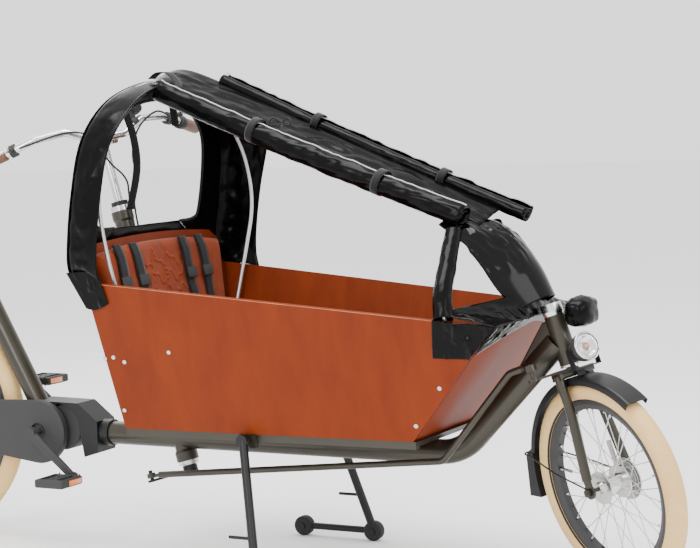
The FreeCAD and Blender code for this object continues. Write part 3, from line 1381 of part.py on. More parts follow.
def check_and_export():
    """Stops on a failed object or a bad shape, then writes each sub-part."""
    doc.recompute()
    for item in doc.Objects:
        if "Invalid" in item.State or "Error" in item.State:
            raise RuntimeError(f"{item.Label} failed: {item.State}")
    for item in parts:
        if item.Shape.isNull() or not item.Shape.isValid() or not item.Shape.Solids:
            raise RuntimeError(f"{item.Label} has no valid solid")
    os.makedirs("parts", exist_ok=True)
    for item in parts:
        item.Shape.exportStep(f"parts/{item.Label}.step")
        print(f"{item.Label}: {len(item.Shape.Solids)} solids, {item.Shape.Volume / 1000:.1f} cm3")


fill_sheet()
for make in MAKERS:
    make()
check_and_export()
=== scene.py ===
import logging
import math
from dataclasses import dataclass, field
from enum import Enum
from typing import Callable, Sequence

import bmesh
import bpy
from mathutils import Matrix, Vector, noise


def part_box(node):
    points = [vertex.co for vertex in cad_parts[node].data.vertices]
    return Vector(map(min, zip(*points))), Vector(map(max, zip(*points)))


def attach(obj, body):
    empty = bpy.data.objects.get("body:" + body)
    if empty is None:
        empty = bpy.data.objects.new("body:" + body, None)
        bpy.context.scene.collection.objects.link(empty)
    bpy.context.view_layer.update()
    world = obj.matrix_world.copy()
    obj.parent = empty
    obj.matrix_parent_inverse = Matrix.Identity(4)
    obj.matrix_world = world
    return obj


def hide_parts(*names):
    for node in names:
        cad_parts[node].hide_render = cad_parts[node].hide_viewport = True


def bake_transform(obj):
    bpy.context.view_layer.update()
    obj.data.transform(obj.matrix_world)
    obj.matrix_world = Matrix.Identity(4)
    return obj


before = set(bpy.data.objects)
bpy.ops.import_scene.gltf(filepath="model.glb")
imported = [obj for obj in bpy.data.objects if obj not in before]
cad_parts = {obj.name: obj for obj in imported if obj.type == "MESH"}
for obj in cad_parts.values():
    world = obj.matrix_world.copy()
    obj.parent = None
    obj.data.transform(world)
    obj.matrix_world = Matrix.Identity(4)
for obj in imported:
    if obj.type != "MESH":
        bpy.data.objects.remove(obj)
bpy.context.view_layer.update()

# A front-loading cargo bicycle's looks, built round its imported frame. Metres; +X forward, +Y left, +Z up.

log = logging.getLogger("cargo_bicycle")
TAU = 2 * math.pi
Surface = Callable[[float, float], Vector]


# ---------------------------------------------------------------- finishes

class Kind(Enum):
    """The families of finish on the bicycle."""

    PAINT = "paint"
    METAL = "metal"
    PLASTIC = "plastic"
    PLYWOOD = "plywood"
    COATED_CLOTH = "coated cloth"
    WOVEN = "woven"
    LEATHER = "leather"
    RUBBER = "rubber"
    GLASS = "glass"


def new_group(name: str, outputs: Sequence[tuple[str, str]],
              inputs: Sequence[tuple[str, float]]) -> bpy.types.NodeTree:
    """Makes an empty node group with its sockets.

    Args:
        name: the group's name.
        outputs: pairs of socket name and socket type.
        inputs: pairs of number socket name and default.

    Returns:
        The node tree, with its input and output nodes in place.
    """
    tree = bpy.data.node_groups.new(name, "ShaderNodeTree")
    for label, default in inputs:
        socket = tree.interface.new_socket(label, in_out="INPUT", socket_type="NodeSocketFloat")
        socket.default_value = default
    for label, kind in outputs:
        tree.interface.new_socket(label, in_out="OUTPUT", socket_type=kind)
    tree.nodes.new("NodeGroupInput")
    tree.nodes.new("NodeGroupOutput")
    return tree


def node(tree: bpy.types.NodeTree, kind: str, **values: object) -> bpy.types.Node:
    """Adds a node and sets its number inputs by name."""
    made = tree.nodes.new(kind)
    for label, value in values.items():
        made.inputs[label.replace("_", " ")].default_value = value
    return made


def patches_group() -> bpy.types.NodeTree:
    """Soft uneven patches, as handling and dust leave them, as a mask from 0 to 1."""
    tree = new_group("patches", [("Mask", "NodeSocketFloat")], [("Scale", 6.0)])
    place = tree.nodes.new("ShaderNodeTexCoord")
    cloud = node(tree, "ShaderNodeTexNoise", Detail=4.0, Roughness=0.6)
    tree.links.new(place.outputs["Object"], cloud.inputs["Vector"])
    tree.links.new(tree.nodes["Group Input"].outputs["Scale"], cloud.inputs["Scale"])
    tree.links.new(cloud.outputs["Fac"], tree.nodes["Group Output"].inputs["Mask"])
    return tree


def relief_group() -> bpy.types.NodeTree:
    """Fine relief of a surface as a normal."""
    tree = new_group("relief", [("Normal", "NodeSocketVector")], [("Scale", 400.0), ("Depth", 0.2)])
    place = tree.nodes.new("ShaderNodeTexCoord")
    grain = node(tree, "ShaderNodeTexNoise", Detail=3.0)
    bump = node(tree, "ShaderNodeBump", Distance=0.001)
    source = tree.nodes["Group Input"].outputs
    tree.links.new(place.outputs["Object"], grain.inputs["Vector"])
    tree.links.new(source["Scale"], grain.inputs["Scale"])
    tree.links.new(source["Depth"], bump.inputs["Strength"])
    tree.links.new(grain.outputs["Fac"], bump.inputs["Height"])
    tree.links.new(bump.outputs["Normal"], tree.nodes["Group Output"].inputs["Normal"])
    return tree


def grain_group() -> bpy.types.NodeTree:
    """Veneer figure that runs up the boards: streaks stretched along Z, as a mask."""
    tree = new_group("veneer", [("Mask", "NodeSocketFloat")], [("Scale", 9.0)])
    place = tree.nodes.new("ShaderNodeTexCoord")
    stretch = tree.nodes.new("ShaderNodeMapping")
    stretch.inputs["Scale"].default_value = (1.0, 1.0, 0.09)
    streaks = node(tree, "ShaderNodeTexNoise", Detail=8.0, Roughness=0.65, Distortion=0.4)
    tree.links.new(place.outputs["Object"], stretch.inputs["Vector"])
    tree.links.new(stretch.outputs["Vector"], streaks.inputs["Vector"])
    tree.links.new(tree.nodes["Group Input"].outputs["Scale"], streaks.inputs["Scale"])
    tree.links.new(streaks.outputs["Fac"], tree.nodes["Group Output"].inputs["Mask"])
    return tree


@dataclass(frozen=True)
class Finish:
    """One finish: its colour, how it shines and how its surface is broken up."""

    name: str
    kind: Kind
    colour: tuple[float, float, float]
    roughness: float = 0.5
    second: tuple[float, float, float] | None = None
    coat: float = 0.0
    specular: float = 0.5
    metallic: float = 0.0
    relief_scale: float = 350.0
    relief_depth: float = 0.15
    patch_scale: float = 6.0

    def material(self) -> bpy.types.Material:
        """Returns the Blender material, made once."""
        made = bpy.data.materials.get(self.name)
        if made is not None:
            return made
        made = bpy.data.materials.new(self.name)
        made.use_nodes = True
        made.diffuse_color = (*self.colour, 1.0)
        tree = made.node_tree
        skin = tree.nodes["Principled BSDF"]
        skin.inputs["Base Color"].default_value = (*self.colour, 1.0)
        skin.inputs["Roughness"].default_value = self.roughness
        skin.inputs["Metallic"].default_value = self.metallic
        skin.inputs["Coat Weight"].default_value = self.coat
        skin.inputs["Coat Roughness"].default_value = 0.12
        skin.inputs["Specular IOR Level"].default_value = self.specular
        if self.kind is Kind.GLASS:
            skin.inputs["Transmission Weight"].default_value = 0.92
            skin.inputs["IOR"].default_value = 1.45
            return made
        if self.kind is Kind.PAINT:
            skin.inputs["Metallic"].default_value = 0.55
        if self.kind in (Kind.WOVEN, Kind.LEATHER):
            skin.inputs["Sheen Weight"].default_value = 0.15
        self.break_up(tree, skin)
        return made

    def break_up(self, tree: bpy.types.NodeTree, skin: bpy.types.Node) -> None:
        """Adds the uneven colour, uneven gloss and the relief.

        Args:
            tree: the material's node tree.
            skin: its Principled shader.
        """
        mask = tree.nodes.new("ShaderNodeGroup")
        mask.node_tree = GROUPS["veneer" if self.kind is Kind.PLYWOOD else "patches"]
        mask.inputs["Scale"].default_value = self.patch_scale
        other = self.second or tuple(c * 0.8 for c in self.colour)
        ramp = tree.nodes.new("ShaderNodeValToRGB")
        ramp.color_ramp.elements[0].position = 0.34
        ramp.color_ramp.elements[0].color = (*other, 1.0)
        ramp.color_ramp.elements[1].position = 0.66
        ramp.color_ramp.elements[1].color = (*self.colour, 1.0)
        tree.links.new(mask.outputs["Mask"], ramp.inputs["Fac"])
        tree.links.new(ramp.outputs["Color"], skin.inputs["Base Color"])
        gloss = tree.nodes.new("ShaderNodeMapRange")
        gloss.inputs["To Min"].default_value = max(0.03, self.roughness - 0.07)
        gloss.inputs["To Max"].default_value = min(1.0, self.roughness + 0.07)
        tree.links.new(mask.outputs["Mask"], gloss.inputs["Value"])
        tree.links.new(gloss.outputs["Result"], skin.inputs["Roughness"])
        relief = tree.nodes.new("ShaderNodeGroup")
        relief.node_tree = GROUPS["relief"]
        relief.inputs["Scale"].default_value = self.relief_scale
        relief.inputs["Depth"].default_value = self.relief_depth
        tree.links.new(relief.outputs["Normal"], skin.inputs["Normal"])


GROUPS = {"patches": patches_group(), "relief": relief_group(), "veneer": grain_group()}

OLIVE_PAINT = Finish("olive_paint", Kind.PAINT, (0.036, 0.031, 0.021), 0.38, coat=0.2, relief_depth=0.04)
BLACK_COAT = Finish("black_powder_coat", Kind.PAINT, (0.014, 0.014, 0.015), 0.42, relief_depth=0.1)
STEEL = Finish("plain_steel", Kind.METAL, (0.5, 0.5, 0.49), 0.32, metallic=1.0, relief_depth=0.06)
SILVER = Finish("satin_silver", Kind.METAL, (0.72, 0.72, 0.7), 0.24, metallic=1.0, relief_depth=0.03)
RIM_BLACK = Finish("rim_black", Kind.METAL, (0.03, 0.03, 0.03), 0.35, metallic=0.6, relief_depth=0.04)
PLYWOOD = Finish("stained_plywood", Kind.PLYWOOD, (0.172, 0.0245, 0.0030), 0.5, (0.128, 0.0165, 0.0021),
                 specular=0.12, relief_scale=160.0, relief_depth=0.12, patch_scale=14.0)
PLY_EDGE = Finish("plywood_edge", Kind.PLYWOOD, (0.55, 0.24, 0.09), 0.6, (0.33, 0.12, 0.045),
                  relief_scale=300.0, patch_scale=40.0)
CANOPY = Finish("coated_canopy_cloth", Kind.COATED_CLOTH, (0.0022, 0.0021, 0.0021), 0.2, specular=0.085,
                relief_scale=700.0, relief_depth=0.10, patch_scale=9.0)
DRAPE = Finish("glossy_front_window", Kind.COATED_CLOTH, (0.0020, 0.0019, 0.0019), 0.09, specular=0.16,
               relief_scale=90.0, relief_depth=0.06, patch_scale=9.0)
# Light grey for the line along each roll's outer edge: a painted highlight for the shine of its glossy edge.
ROLL_EDGE_HIGHLIGHT = Finish("painted_edge_highlight_stripe", Kind.WOVEN, (0.42, 0.42, 0.41), 0.5)
PAD = Finish("padded_cover", Kind.WOVEN, (0.245, 0.036, 0.0046), 0.7, (0.18, 0.025, 0.0034), specular=0.12,
             relief_scale=900.0, relief_depth=0.4)
WEBBING = Finish("black_webbing", Kind.WOVEN, (0.005, 0.005, 0.0055), 0.65, specular=0.15,
                 relief_scale=1200.0, relief_depth=0.5)
TYRE = Finish("cream_tyre", Kind.RUBBER, (0.70, 0.47, 0.20), 0.72, (0.62, 0.39, 0.15), relief_scale=500.0,
              relief_depth=0.25)
BLACK_RUBBER = Finish("black_rubber", Kind.RUBBER, (0.014, 0.014, 0.014), 0.6, relief_depth=0.3)
BLACK_PLASTIC = Finish("black_plastic", Kind.PLASTIC, (0.018, 0.018, 0.019), 0.42,
                       relief_scale=600.0, relief_depth=0.2)
GRIP_LEATHER = Finish("grip_leather", Kind.LEATHER, (0.16, 0.055, 0.022), 0.5, (0.10, 0.03, 0.012),
                      relief_scale=300.0, relief_depth=0.5)
SADDLE_COVER = Finish("saddle_cover", Kind.LEATHER, (0.022, 0.019, 0.017), 0.45,
                      relief_scale=420.0, relief_depth=0.4)
CLEAR = Finish("clear_lamp_glass", Kind.GLASS, (0.95, 0.97, 0.98), 0.04)
RED_LENS = Finish("red_lens", Kind.PLASTIC, (0.42, 0.008, 0.008), 0.15, coat=0.6)
AMBER = Finish("amber_reflector", Kind.PLASTIC, (0.85, 0.20, 0.01), 0.2, coat=0.6)
MIRROR_BOWL = Finish("lamp_bowl", Kind.METAL, (0.85, 0.85, 0.86), 0.08, metallic=1.0, relief_depth=0.0)

CAD_FINISHES: dict[str, Finish] = {
    **dict.fromkeys(("main_frame_tube", "column_tube", "seat_tube", "rear_stays", "platform_frame",
                     "steer_rod", "rear_carrier", "fork"), OLIVE_PAINT),
    **dict.fromkeys(("motor_bracket", "stand_frame", "front_mudguard", "rear_mudguard", "column_shaft"),
                    BLACK_COAT),
    **dict.fromkeys(("panel_bolts", "canopy_poles", "chain", "front_spokes", "rear_spokes", "rear_brake",
                     "front_brake", "seat_post"), STEEL),
    **dict.fromkeys(("headset_cups", "stem", "handlebar", "brake_lever_right", "brake_lever_left",
                     "front_hub", "rear_hub"), SILVER),
    **dict.fromkeys(("crankset", "motor_unit", "chain_case", "battery", "bar_controls", "twist_shifter",
                     "pedal_right", "pedal_left", "headlamp_body"), BLACK_PLASTIC),
    **dict.fromkeys(("side_panel_right", "side_panel_left", "front_panel", "back_panel", "floor_panel",
                     "bench_board"), PLYWOOD),
    "front_rim": RIM_BLACK, "rear_rim": RIM_BLACK, "front_tyre": TYRE, "rear_tyre": TYRE,
    "stand_feet": BLACK_RUBBER, "grips": GRIP_LEATHER, "headlamp_lens": CLEAR, "tail_light": RED_LENS,
}


# ---------------------------------------------------------------- making pieces

def finish_piece(bm: bmesh.types.BMesh, name: str, finish: Finish, body: str,
                 smooth: bool = True) -> bpy.types.Object:
    """Turns a bmesh into a piece that rides on a body.

    Args:
        bm: the mesh, in the row frame; it is freed here.
        name: the piece's name.
        finish: what it is made of.
        body: the CAD body it rides on.
        smooth: whether its faces are shaded smooth.

    Returns:
        The new object.
    """
    bmesh.ops.recalc_face_normals(bm, faces=bm.faces)
    mesh = bpy.data.meshes.new(name)
    bm.to_mesh(mesh)
    bm.free()
    for face in mesh.polygons:
        face.use_smooth = smooth
    mesh.materials.append(finish.material())
    piece = bpy.data.objects.new(name, mesh)
    bpy.context.scene.collection.objects.link(piece)
    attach(piece, body)
    log.info("%s: %d faces on %s", name, len(mesh.polygons), body)
    return piece


def grid(bm: bmesh.types.BMesh, surface: Surface, across: int, along: int, closed: bool = False) -> float:
    """Adds a grid of quads over a surface and returns its area in square metres.

    Args:
        bm: the mesh that takes the grid.
        surface: a point for each pair of shares from 0 to 1.
        across: quads in the first direction.
        along: quads in the second direction.
        closed: whether the first direction joins up with itself.

    Returns:
        The grid's area.
    """
    count = across if closed else across + 1
    rows = [[bm.verts.new(surface(i / across, j / along)) for i in range(count)] for j in range(along + 1)]
    area = 0.0
    for low, high in zip(rows, rows[1:]):
        for i in range(across):
            k = (i + 1) % count
            face = bm.faces.new((low[i], low[k], high[k], high[i]))
            area += face.calc_area()
    return area


def sheet_piece(name: str, surface: Surface, cells: tuple[int, int], thickness: float, finish: Finish,
                closed: bool = False,
                hide: Sequence[str] = ()) -> bpy.types.Object:
    """A sheet of cloth with a real thickness.

    Args:
        name: the piece's name.
        surface: its middle surface.
        cells: quads in each direction.
        thickness: the cloth's thickness.
        finish: what it is made of.
        closed: whether the first direction joins up with itself.
        hide: CAD nodes that it stands for.

    Returns:
        The sheet.
    """
    bm = bmesh.new()
    area = grid(bm, surface, cells[0], cells[1], closed)
    middle = [surface(0.5, j / cells[1]) for j in range(cells[1] + 1)]
    length = sum((b - a).length for a, b in zip(middle, middle[1:]))
    bmesh.ops.recalc_face_normals(bm, faces=bm.faces)
    bmesh.ops.solidify(bm, geom=bm.faces[:], thickness=thickness)
    piece = finish_piece(bm, name, finish, "frame")
    if hide:
        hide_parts(*hide)
    return piece


def smooth_line(points: Sequence[Vector], share: float) -> Vector:
    """A point on the Catmull-Rom line through the points, at a share of its way."""
    last = len(points) - 1
    place = min(max(share, 0.0), 1.0) * last
    i = min(int(place), last - 1)
    t = place - i
    p1, p2 = points[i], points[i + 1]
    p0 = points[i - 1] if i else p1 * 2 - p2
    p3 = points[i + 2] if i + 2 <= last else p2 * 2 - p1
    return 0.5 * (2 * p1 + (p2 - p0) * t + (2 * p0 - 5 * p1 + 4 * p2 - p3) * t * t
                  + (3 * p1 - p0 - 3 * p2 + p3) * t ** 3)


def crease(point: Vector, size: float, depth: float, seed: float) -> float:
    """A seeded fold height for cloth: sharp valleys between soft ridges."""
    value = noise.fractal(point / size + Vector((seed, seed * 1.7, seed * 0.6)), 0.9, 2.1, 3)
    return (abs(value) - 0.35) * depth


def tube_along(bm: bmesh.types.BMesh, points: Sequence[Vector], radius: Callable[[float], float], sides: int,
               steps: int, capped: bool = True) -> None:
    """Adds a tube round the smooth line through some points.

    Args:
        bm: the mesh that takes the tube.
        points: the line's points.
        radius: the tube's radius at a share of its way.
        sides: sides round it.
        steps: rings along it.
        capped: whether its ends are closed.
    """
    rings = []
    across = None
    for j in range(steps + 1):
        share = j / steps
        centre = smooth_line(points, share)
        way = smooth_line(points, min(share + 0.002, 1)) - smooth_line(points, max(share - 0.002, 0))
        way.normalize()
        if across is None:
            across = way.orthogonal()
        across = (across - way * across.dot(way)).normalized()
        other = way.cross(across)
        ring = []
        for i in range(sides):
            turn = TAU * i / sides
            away = across * math.cos(turn) + other * math.sin(turn)
            ring.append(bm.verts.new(centre + away * radius(share)))
        rings.append(ring)
    for low, high in zip(rings, rings[1:]):
        for i in range(sides):
            k = (i + 1) % sides
            bm.faces.new((low[i], low[k], high[k], high[i]))
    if capped:
        bm.faces.new(rings[0][::-1])
        bm.faces.new(rings[-1])


def turned(bm: bmesh.types.BMesh, profile: Sequence[tuple[float, float]], place: Matrix, steps: int,
           closed: bool = True) -> None:
    """Spins a profile of (radius, height) about local Z and puts it in its place.

    Args:
        bm: the mesh that takes the form.
        profile: its outline's points.
        place: where its axis stands.
        steps: steps round.
        closed: whether the outline is a ring.
    """
    corners = [bm.verts.new((radius, 0.0, height)) for radius, height in profile]
    pairs = list(zip(corners, corners[1:] + (corners[:1] if closed else [])))
    edges = [bm.edges.new(pair) for pair in (pairs if closed else pairs[:len(corners) - 1])]
    before = set(bm.verts) - set(corners)
    bmesh.ops.spin(bm, geom=corners + edges, cent=(0, 0, 0), axis=(0, 0, 1), angle=TAU, steps=steps,
                   use_merge=True, use_normal_flip=False)
    made = [v for v in bm.verts if v not in before]
    bmesh.ops.remove_doubles(bm, verts=made, dist=1e-6)
    made = [v for v in bm.verts if v not in before]
    bmesh.ops.transform(bm, matrix=place, verts=made)


def box(bm: bmesh.types.BMesh, size: Vector, place: Matrix, bevel: float = 0.0) -> None:
    """Adds a block of a size at a place, its edges rounded by bevel."""
    made = bmesh.ops.create_cube(bm, size=1.0)["verts"]
    bmesh.ops.scale(bm, vec=size, verts=made)
    bmesh.ops.transform(bm, matrix=place, verts=made)
    if bevel > 0:
        edges = list({edge for vert in made for edge in vert.link_edges})
        bmesh.ops.bevel(bm, geom=edges, offset=bevel, offset_type="OFFSET", segments=2, profile=0.5,
                        affect="EDGES", material=-1)


def frame_place(origin: Vector, angle: float, turn: float) -> Matrix:
    """A steering axis' own frame: Z up the axis, X ahead of it after the turn."""
    return Matrix.Translation(origin) @ Matrix.Rotation(math.radians(angle - 90), 4, "Y") @ Matrix.Rotation(
        math.radians(turn), 4, "Z")


# ---------------------------------------------------------------- studio

@dataclass
class Studio:
    """Camera, floor and soft lights."""

    heading: float = 28.03
    height: float = 4.81
    roll: float = -1.85
    distance: float = 4.8125
    aim: Vector = field(default_factory=lambda: Vector((0.3906, 0.0, 0.73245)))
    lens: float = 101.45

    def camera(self) -> None:
        """Stands the camera ahead of the bicycle's right side."""
        heading, height, roll = (math.radians(x) for x in (self.heading, self.height, self.roll))
        back = Vector((math.sin(heading) * math.cos(height), -math.cos(heading) * math.cos(height),
                       math.sin(height)))
        right = Vector((math.cos(heading), math.sin(heading), 0))
        up = back.cross(right)
        across = right * math.cos(roll) + up * math.sin(roll)
        above = up * math.cos(roll) - right * math.sin(roll)
        data = bpy.data.cameras.new("camera")
        data.lens = self.lens
        data.sensor_width = 36.0
        data.clip_end = 100.0
        camera = bpy.data.objects.new("camera", data)
        bpy.context.scene.collection.objects.link(camera)
        turn = Matrix((across, above, back)).transposed().to_4x4()
        camera.matrix_world = Matrix.Translation(self.aim + back * self.distance) @ turn
        bpy.context.scene.camera = camera

    def floor(self) -> None:
        """A wide pale floor."""
        bm = bmesh.new()
        bmesh.ops.create_grid(bm, x_segments=1, y_segments=1, size=30.0)
        mesh = bpy.data.meshes.new("floor")
        bm.to_mesh(mesh)
        bm.free()
        paint = bpy.data.materials.new("floor")
        paint.use_nodes = True
        skin = paint.node_tree.nodes["Principled BSDF"]
        skin.inputs["Base Color"].default_value = (0.93, 0.93, 0.93, 1)
        skin.inputs["Roughness"].default_value = 0.9
        mesh.materials.append(paint)
        floor = bpy.data.objects.new("floor", mesh)
        bpy.context.scene.collection.objects.link(floor)

    def lights(self) -> None:
        """Soft boxes overhead, to the right and ahead, in a bright room."""
        world = bpy.data.worlds.new("room")
        world.use_nodes = True
        world.node_tree.nodes["Background"].inputs["Color"].default_value = (1.0, 1.0, 1.0, 1.0)
        world.node_tree.nodes["Background"].inputs["Strength"].default_value = 1.75
        bpy.context.scene.world = world
        for name, spot, size, watts in (
                ("overhead", (0.3, -0.6, 4.2), 2.2, 210), ("right", (0.2, -4.2, 2.6), 1.6, 95),
                ("ahead", (4.2, -1.2, 2.2), 1.8, 50), ("behind", (-3.2, 2.2, 2.8), 2.0, 45)):
            data = bpy.data.lights.new(name, "AREA")
            data.energy = watts
            data.size = size
            lamp = bpy.data.objects.new(name, data)
            lamp.location = spot
            lamp.rotation_euler = (Vector((0.2, 0, 0.6)) - Vector(spot)).to_track_quat("-Z", "Y").to_euler()
            bpy.context.scene.collection.objects.link(lamp)

    def build(self) -> None:
        """Sets the whole studio up."""
        self.camera()
        self.floor()
        self.lights()


# ---------------------------------------------------------------- cables

@dataclass
class Cables:
    """Brake cables from the hand levers down to the column."""

    diameter: float = 0.0052
    routes: dict[str, list[tuple[float, float, float]]] = field(default_factory=lambda: {
        "right": [(-0.4474, -0.1894, 1.0603), (-0.4019, -0.1724, 1.0769), (-0.3177, -0.1495, 1.1014),
                  (-0.2814, -0.0958, 1.0864), (-0.2727, -0.0572, 1.0204), (-0.2410, -0.0140, 0.9761),
                  (-0.2429, -0.0080, 0.9300), (-0.2366, -0.0080, 0.8799), (-0.2249, -0.0080, 0.8313)],
        "left": [(-0.2228, 0.1637, 1.1293), (-0.2031, 0.1122, 1.1408), (-0.1905, 0.0471, 1.1463),
                 (-0.2140, 0.0017, 1.1068), (-0.2273, -0.0125, 1.0410), (-0.2353, 0.0180, 0.9859),
                 (-0.2406, 0.0100, 0.9368), (-0.2367, 0.0080, 0.8840), (-0.2249, 0.0080, 0.8313)]})

    def build(self) -> None:
        """Lays each cable along its smooth line."""
        for side, route in self.routes.items():
            curve = bpy.data.curves.new(f"cable_{side}_line", "CURVE")
            curve.dimensions = "3D"
            curve.bevel_depth = self.diameter / 2
            curve.bevel_resolution = 3
            curve.resolution_u = 10
            curve.use_fill_caps = True
            spline = curve.splines.new("NURBS")
            spline.points.add(len(route) - 1)
            for point, place in zip(spline.points, route):
                point.co = (*place, 1.0)
            spline.order_u = 3
            spline.use_endpoint_u = True
            holder = bpy.data.objects.new(f"cable_{side}_line", curve)
            bpy.context.scene.collection.objects.link(holder)
            bpy.context.view_layer.update()
            shown = holder.evaluated_get(bpy.context.evaluated_depsgraph_get())
            mesh = bpy.data.meshes.new_from_object(shown)
            bpy.data.objects.remove(holder)
            mesh.materials.clear()
            mesh.materials.append(BLACK_RUBBER.material())
            for face in mesh.polygons:
                face.use_smooth = True
            piece = bpy.data.objects.new(f"cable_{side}", mesh)
            bpy.context.scene.collection.objects.link(piece)
            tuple(route[-1])
            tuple(route[3])
            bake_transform(piece)
            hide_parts("control_cables")
            log.info("cable_%s laid", side)


# ---------------------------------------------------------------- canopy

@dataclass
class Canopy:
    """Rear wall with its window, side strips, roof strip, rolled sides, front window, apron and ties."""

    cloth: float = 0.0016
    wall_foot: Vector = field(default_factory=lambda: Vector((-0.202, 0.0, 0.832)))
    wall_lean: float = 8.0
    window_low: float = 0.856
    strip_depth: dict[int, float] = field(default_factory=lambda: {-1: 0.088, 1: 0.156})
    ridge_rear: Vector = field(default_factory=lambda: Vector((-0.134, 0.0, 1.216)))
    ridge_front: Vector = field(default_factory=lambda: Vector((0.722, 0.0, 0.856)))

    def wall_point(self, across: float, height: float, ahead: float = 0.0) -> Vector:
        """A point of the leaning rear wall, or ahead of it."""
        lean = math.radians(self.wall_lean)
        rise = height - self.wall_foot.z
        return Vector((self.wall_foot.x + rise * math.sin(lean) + ahead * math.cos(lean), across,
                       self.wall_foot.z + rise * math.cos(lean) - ahead * math.sin(lean)))

    def outline(self, share: float) -> tuple[float, float]:
        """Across and height round the wall's arched top, from its right foot (0) to its left foot (1)."""
        half = [Vector((0.322, 0.742, 0)), Vector((0.345, 0.80, 0)), Vector((0.347, 0.95, 0)),
                Vector((0.318, 1.09, 0)), Vector((0.205, 1.187, 0)), Vector((0.0, 1.227, 0))]
        whole = [Vector((-p.x, p.y, 0)) for p in half] + half[-2::-1]
        point = smooth_line(whole, share)
        return point.x, point.y

    def window_point(self, share: float) -> tuple[float, float]:
        """The matching point on the window's arched edge, from its right sill end to its left sill end."""
        half = [Vector((0.150, 0.856, 0)), Vector((0.212, 0.860, 0)), Vector((0.236, 0.884, 0)),
                Vector((0.239, 1.000, 0)), Vector((0.215, 1.090, 0)), Vector((0.130, 1.154, 0)),
                Vector((0.0, 1.176, 0))]
        whole = [Vector((-p.x, p.y, 0)) for p in half] + half[-2::-1]
        point = smooth_line(whole, share)
        return point.x, point.y

    def wall(self) -> None:
        """The rear wall from its outer edge in to the window, and the band under the window."""
        def surface(share: float, inward: float) -> Vector:
            """The arched part."""
            a, b = self.outline(share), self.window_point(share)
            across = a[0] + (b[0] - a[0]) * inward
            height = a[1] + (b[1] - a[1]) * inward
            spot = self.wall_point(across, height, 0.004)
            ripple = crease(spot, 0.11, 0.010, 3.1) * math.sin(math.pi * inward)
            return self.wall_point(across, height, 0.004 + ripple)

        sheet_piece("canopy_wall", surface, (96, 12), self.cloth, CANOPY,
                    hide=["canopy_rear_wall"])

        def low_band(share: float, rise: float) -> Vector:
            """The band from the seat back up to the window's sill."""
            left, right = self.window_point(0.0), self.window_point(1.0)
            low_across = -0.322 + 0.644 * share
            high_across = left[0] + (right[0] - left[0]) * share
            sill = self.window_low
            across = low_across + (high_across - low_across) * rise
            height = 0.742 + (sill - 0.742) * rise
            spot = self.wall_point(across, height)
            return self.wall_point(across, height, 0.002 + crease(spot, 0.13, 0.008, 8.4) * 0.7)

        sheet_piece("canopy_wall_band", low_band, (48, 10), self.cloth, CANOPY)
        bm = bmesh.new()
        edge = []
        for i in range(61):
            x, z = self.window_point(i / 60)
            edge.append(self.wall_point(x, z, 0.006))
        tube_along(bm, edge, lambda share: 0.0035, 8, 180)
        finish_piece(bm, "window_binding", WEBBING, "frame")

    def side_strips(self) -> None:
        """The strips that turn forward from the wall's edge over the hoop, one on each side."""
        for name, side in (("right", -1), ("left", 1)):
            depth = self.strip_depth[side]

            def surface(share: float, forward: float, side: int = side, depth: float = depth) -> Vector:
                """Round the outline from foot to crown, and forward from the wall."""
                across, height = self.outline(share / 2 if side < 0 else 1 - share / 2)
                foot = max(0.0, 1 - share * 3.2)
                waist = 1 - 0.22 * math.sin(math.pi * min(1.0, share * 1.6)) if side > 0 else 1.0
                reach = depth * waist * (1 - 0.35 * max(0.0, share - 0.72) / 0.28)
                rounded = min(1.0, forward * 5)
                inward = 0.012 * (1 - rounded) ** 2
                swell = 0.006 * math.sin(math.pi * forward) * (1 - foot)
                across -= side * (inward - swell)
                spot = self.wall_point(across, height, forward * reach)
                ripple = crease(spot, 0.07, 0.012, 5.3 + side) * math.sin(math.pi * min(1.0, forward * 1.1))
                across += side * min(ripple, 0.004)
                return self.wall_point(across, height - ripple * 0.3, forward * reach + 0.001)

            sheet_piece(f"canopy_side_strip_{name}", surface, (84, 20), self.cloth, CANOPY)
            bm = bmesh.new()
            tube_along(bm, [surface(i / 40, 1.0) for i in range(41)], lambda share: 0.0026, 8, 160)
            finish_piece(bm, f"side_strip_hem_{name}", CANOPY, "frame")

    def cuffs(self) -> None:
        """The strips' lower ends, folded over the box's rear corners."""
        for name, side in (("right", -1), ("left", 1)):
            outward = Vector((0.0394, 0.9604 * side, -0.2757))
            top = [Vector((-0.212, 0, 0.760)), Vector((-0.165, 0, 0.764)), Vector((-0.122, 0, 0.758))]
            low = [Vector((-0.178, 0, 0.670)), Vector((-0.150, 0, 0.667)), Vector((-0.112, 0, 0.682))]

            def surface(share: float, down: float, side: int = side, top: list = top, low: list = low,
                        outward: Vector = outward) -> Vector:
                """Along the corner and down over the board."""
                point = smooth_line(top, share).lerp(smooth_line(low, share), down)
                half_low = 0.212 - (point.x + 0.142) * 0.041
                half_high = 0.320 - (point.x + 0.172) * 0.0663
                rise = (point.z - 0.360) / (0.732 - (point.x + 0.172) * 0.0879 - 0.360)
                point.y = side * min(half_low + (half_high - half_low) * rise, 0.331)
                fold = crease(Vector((point.x * 1.5, point.y, point.z * 0.6)), 0.04, 0.008, 12.3 + side)
                return point + outward * (0.0045 + max(fold, 0.0) + 0.003 * (1 - down))

            sheet_piece(f"canopy_cuff_{name}", surface, (30, 30), self.cloth, CANOPY)

    def ridge(self, share: float, across: float, lift: float) -> Vector:
        """A point along the ridge, out to the side and above it."""
        way = (self.ridge_front - self.ridge_rear).normalized()
        over = Vector((-way.z, 0, way.x))
        return self.ridge_rear.lerp(self.ridge_front, share) + Vector((0, across, 0)) + over * lift

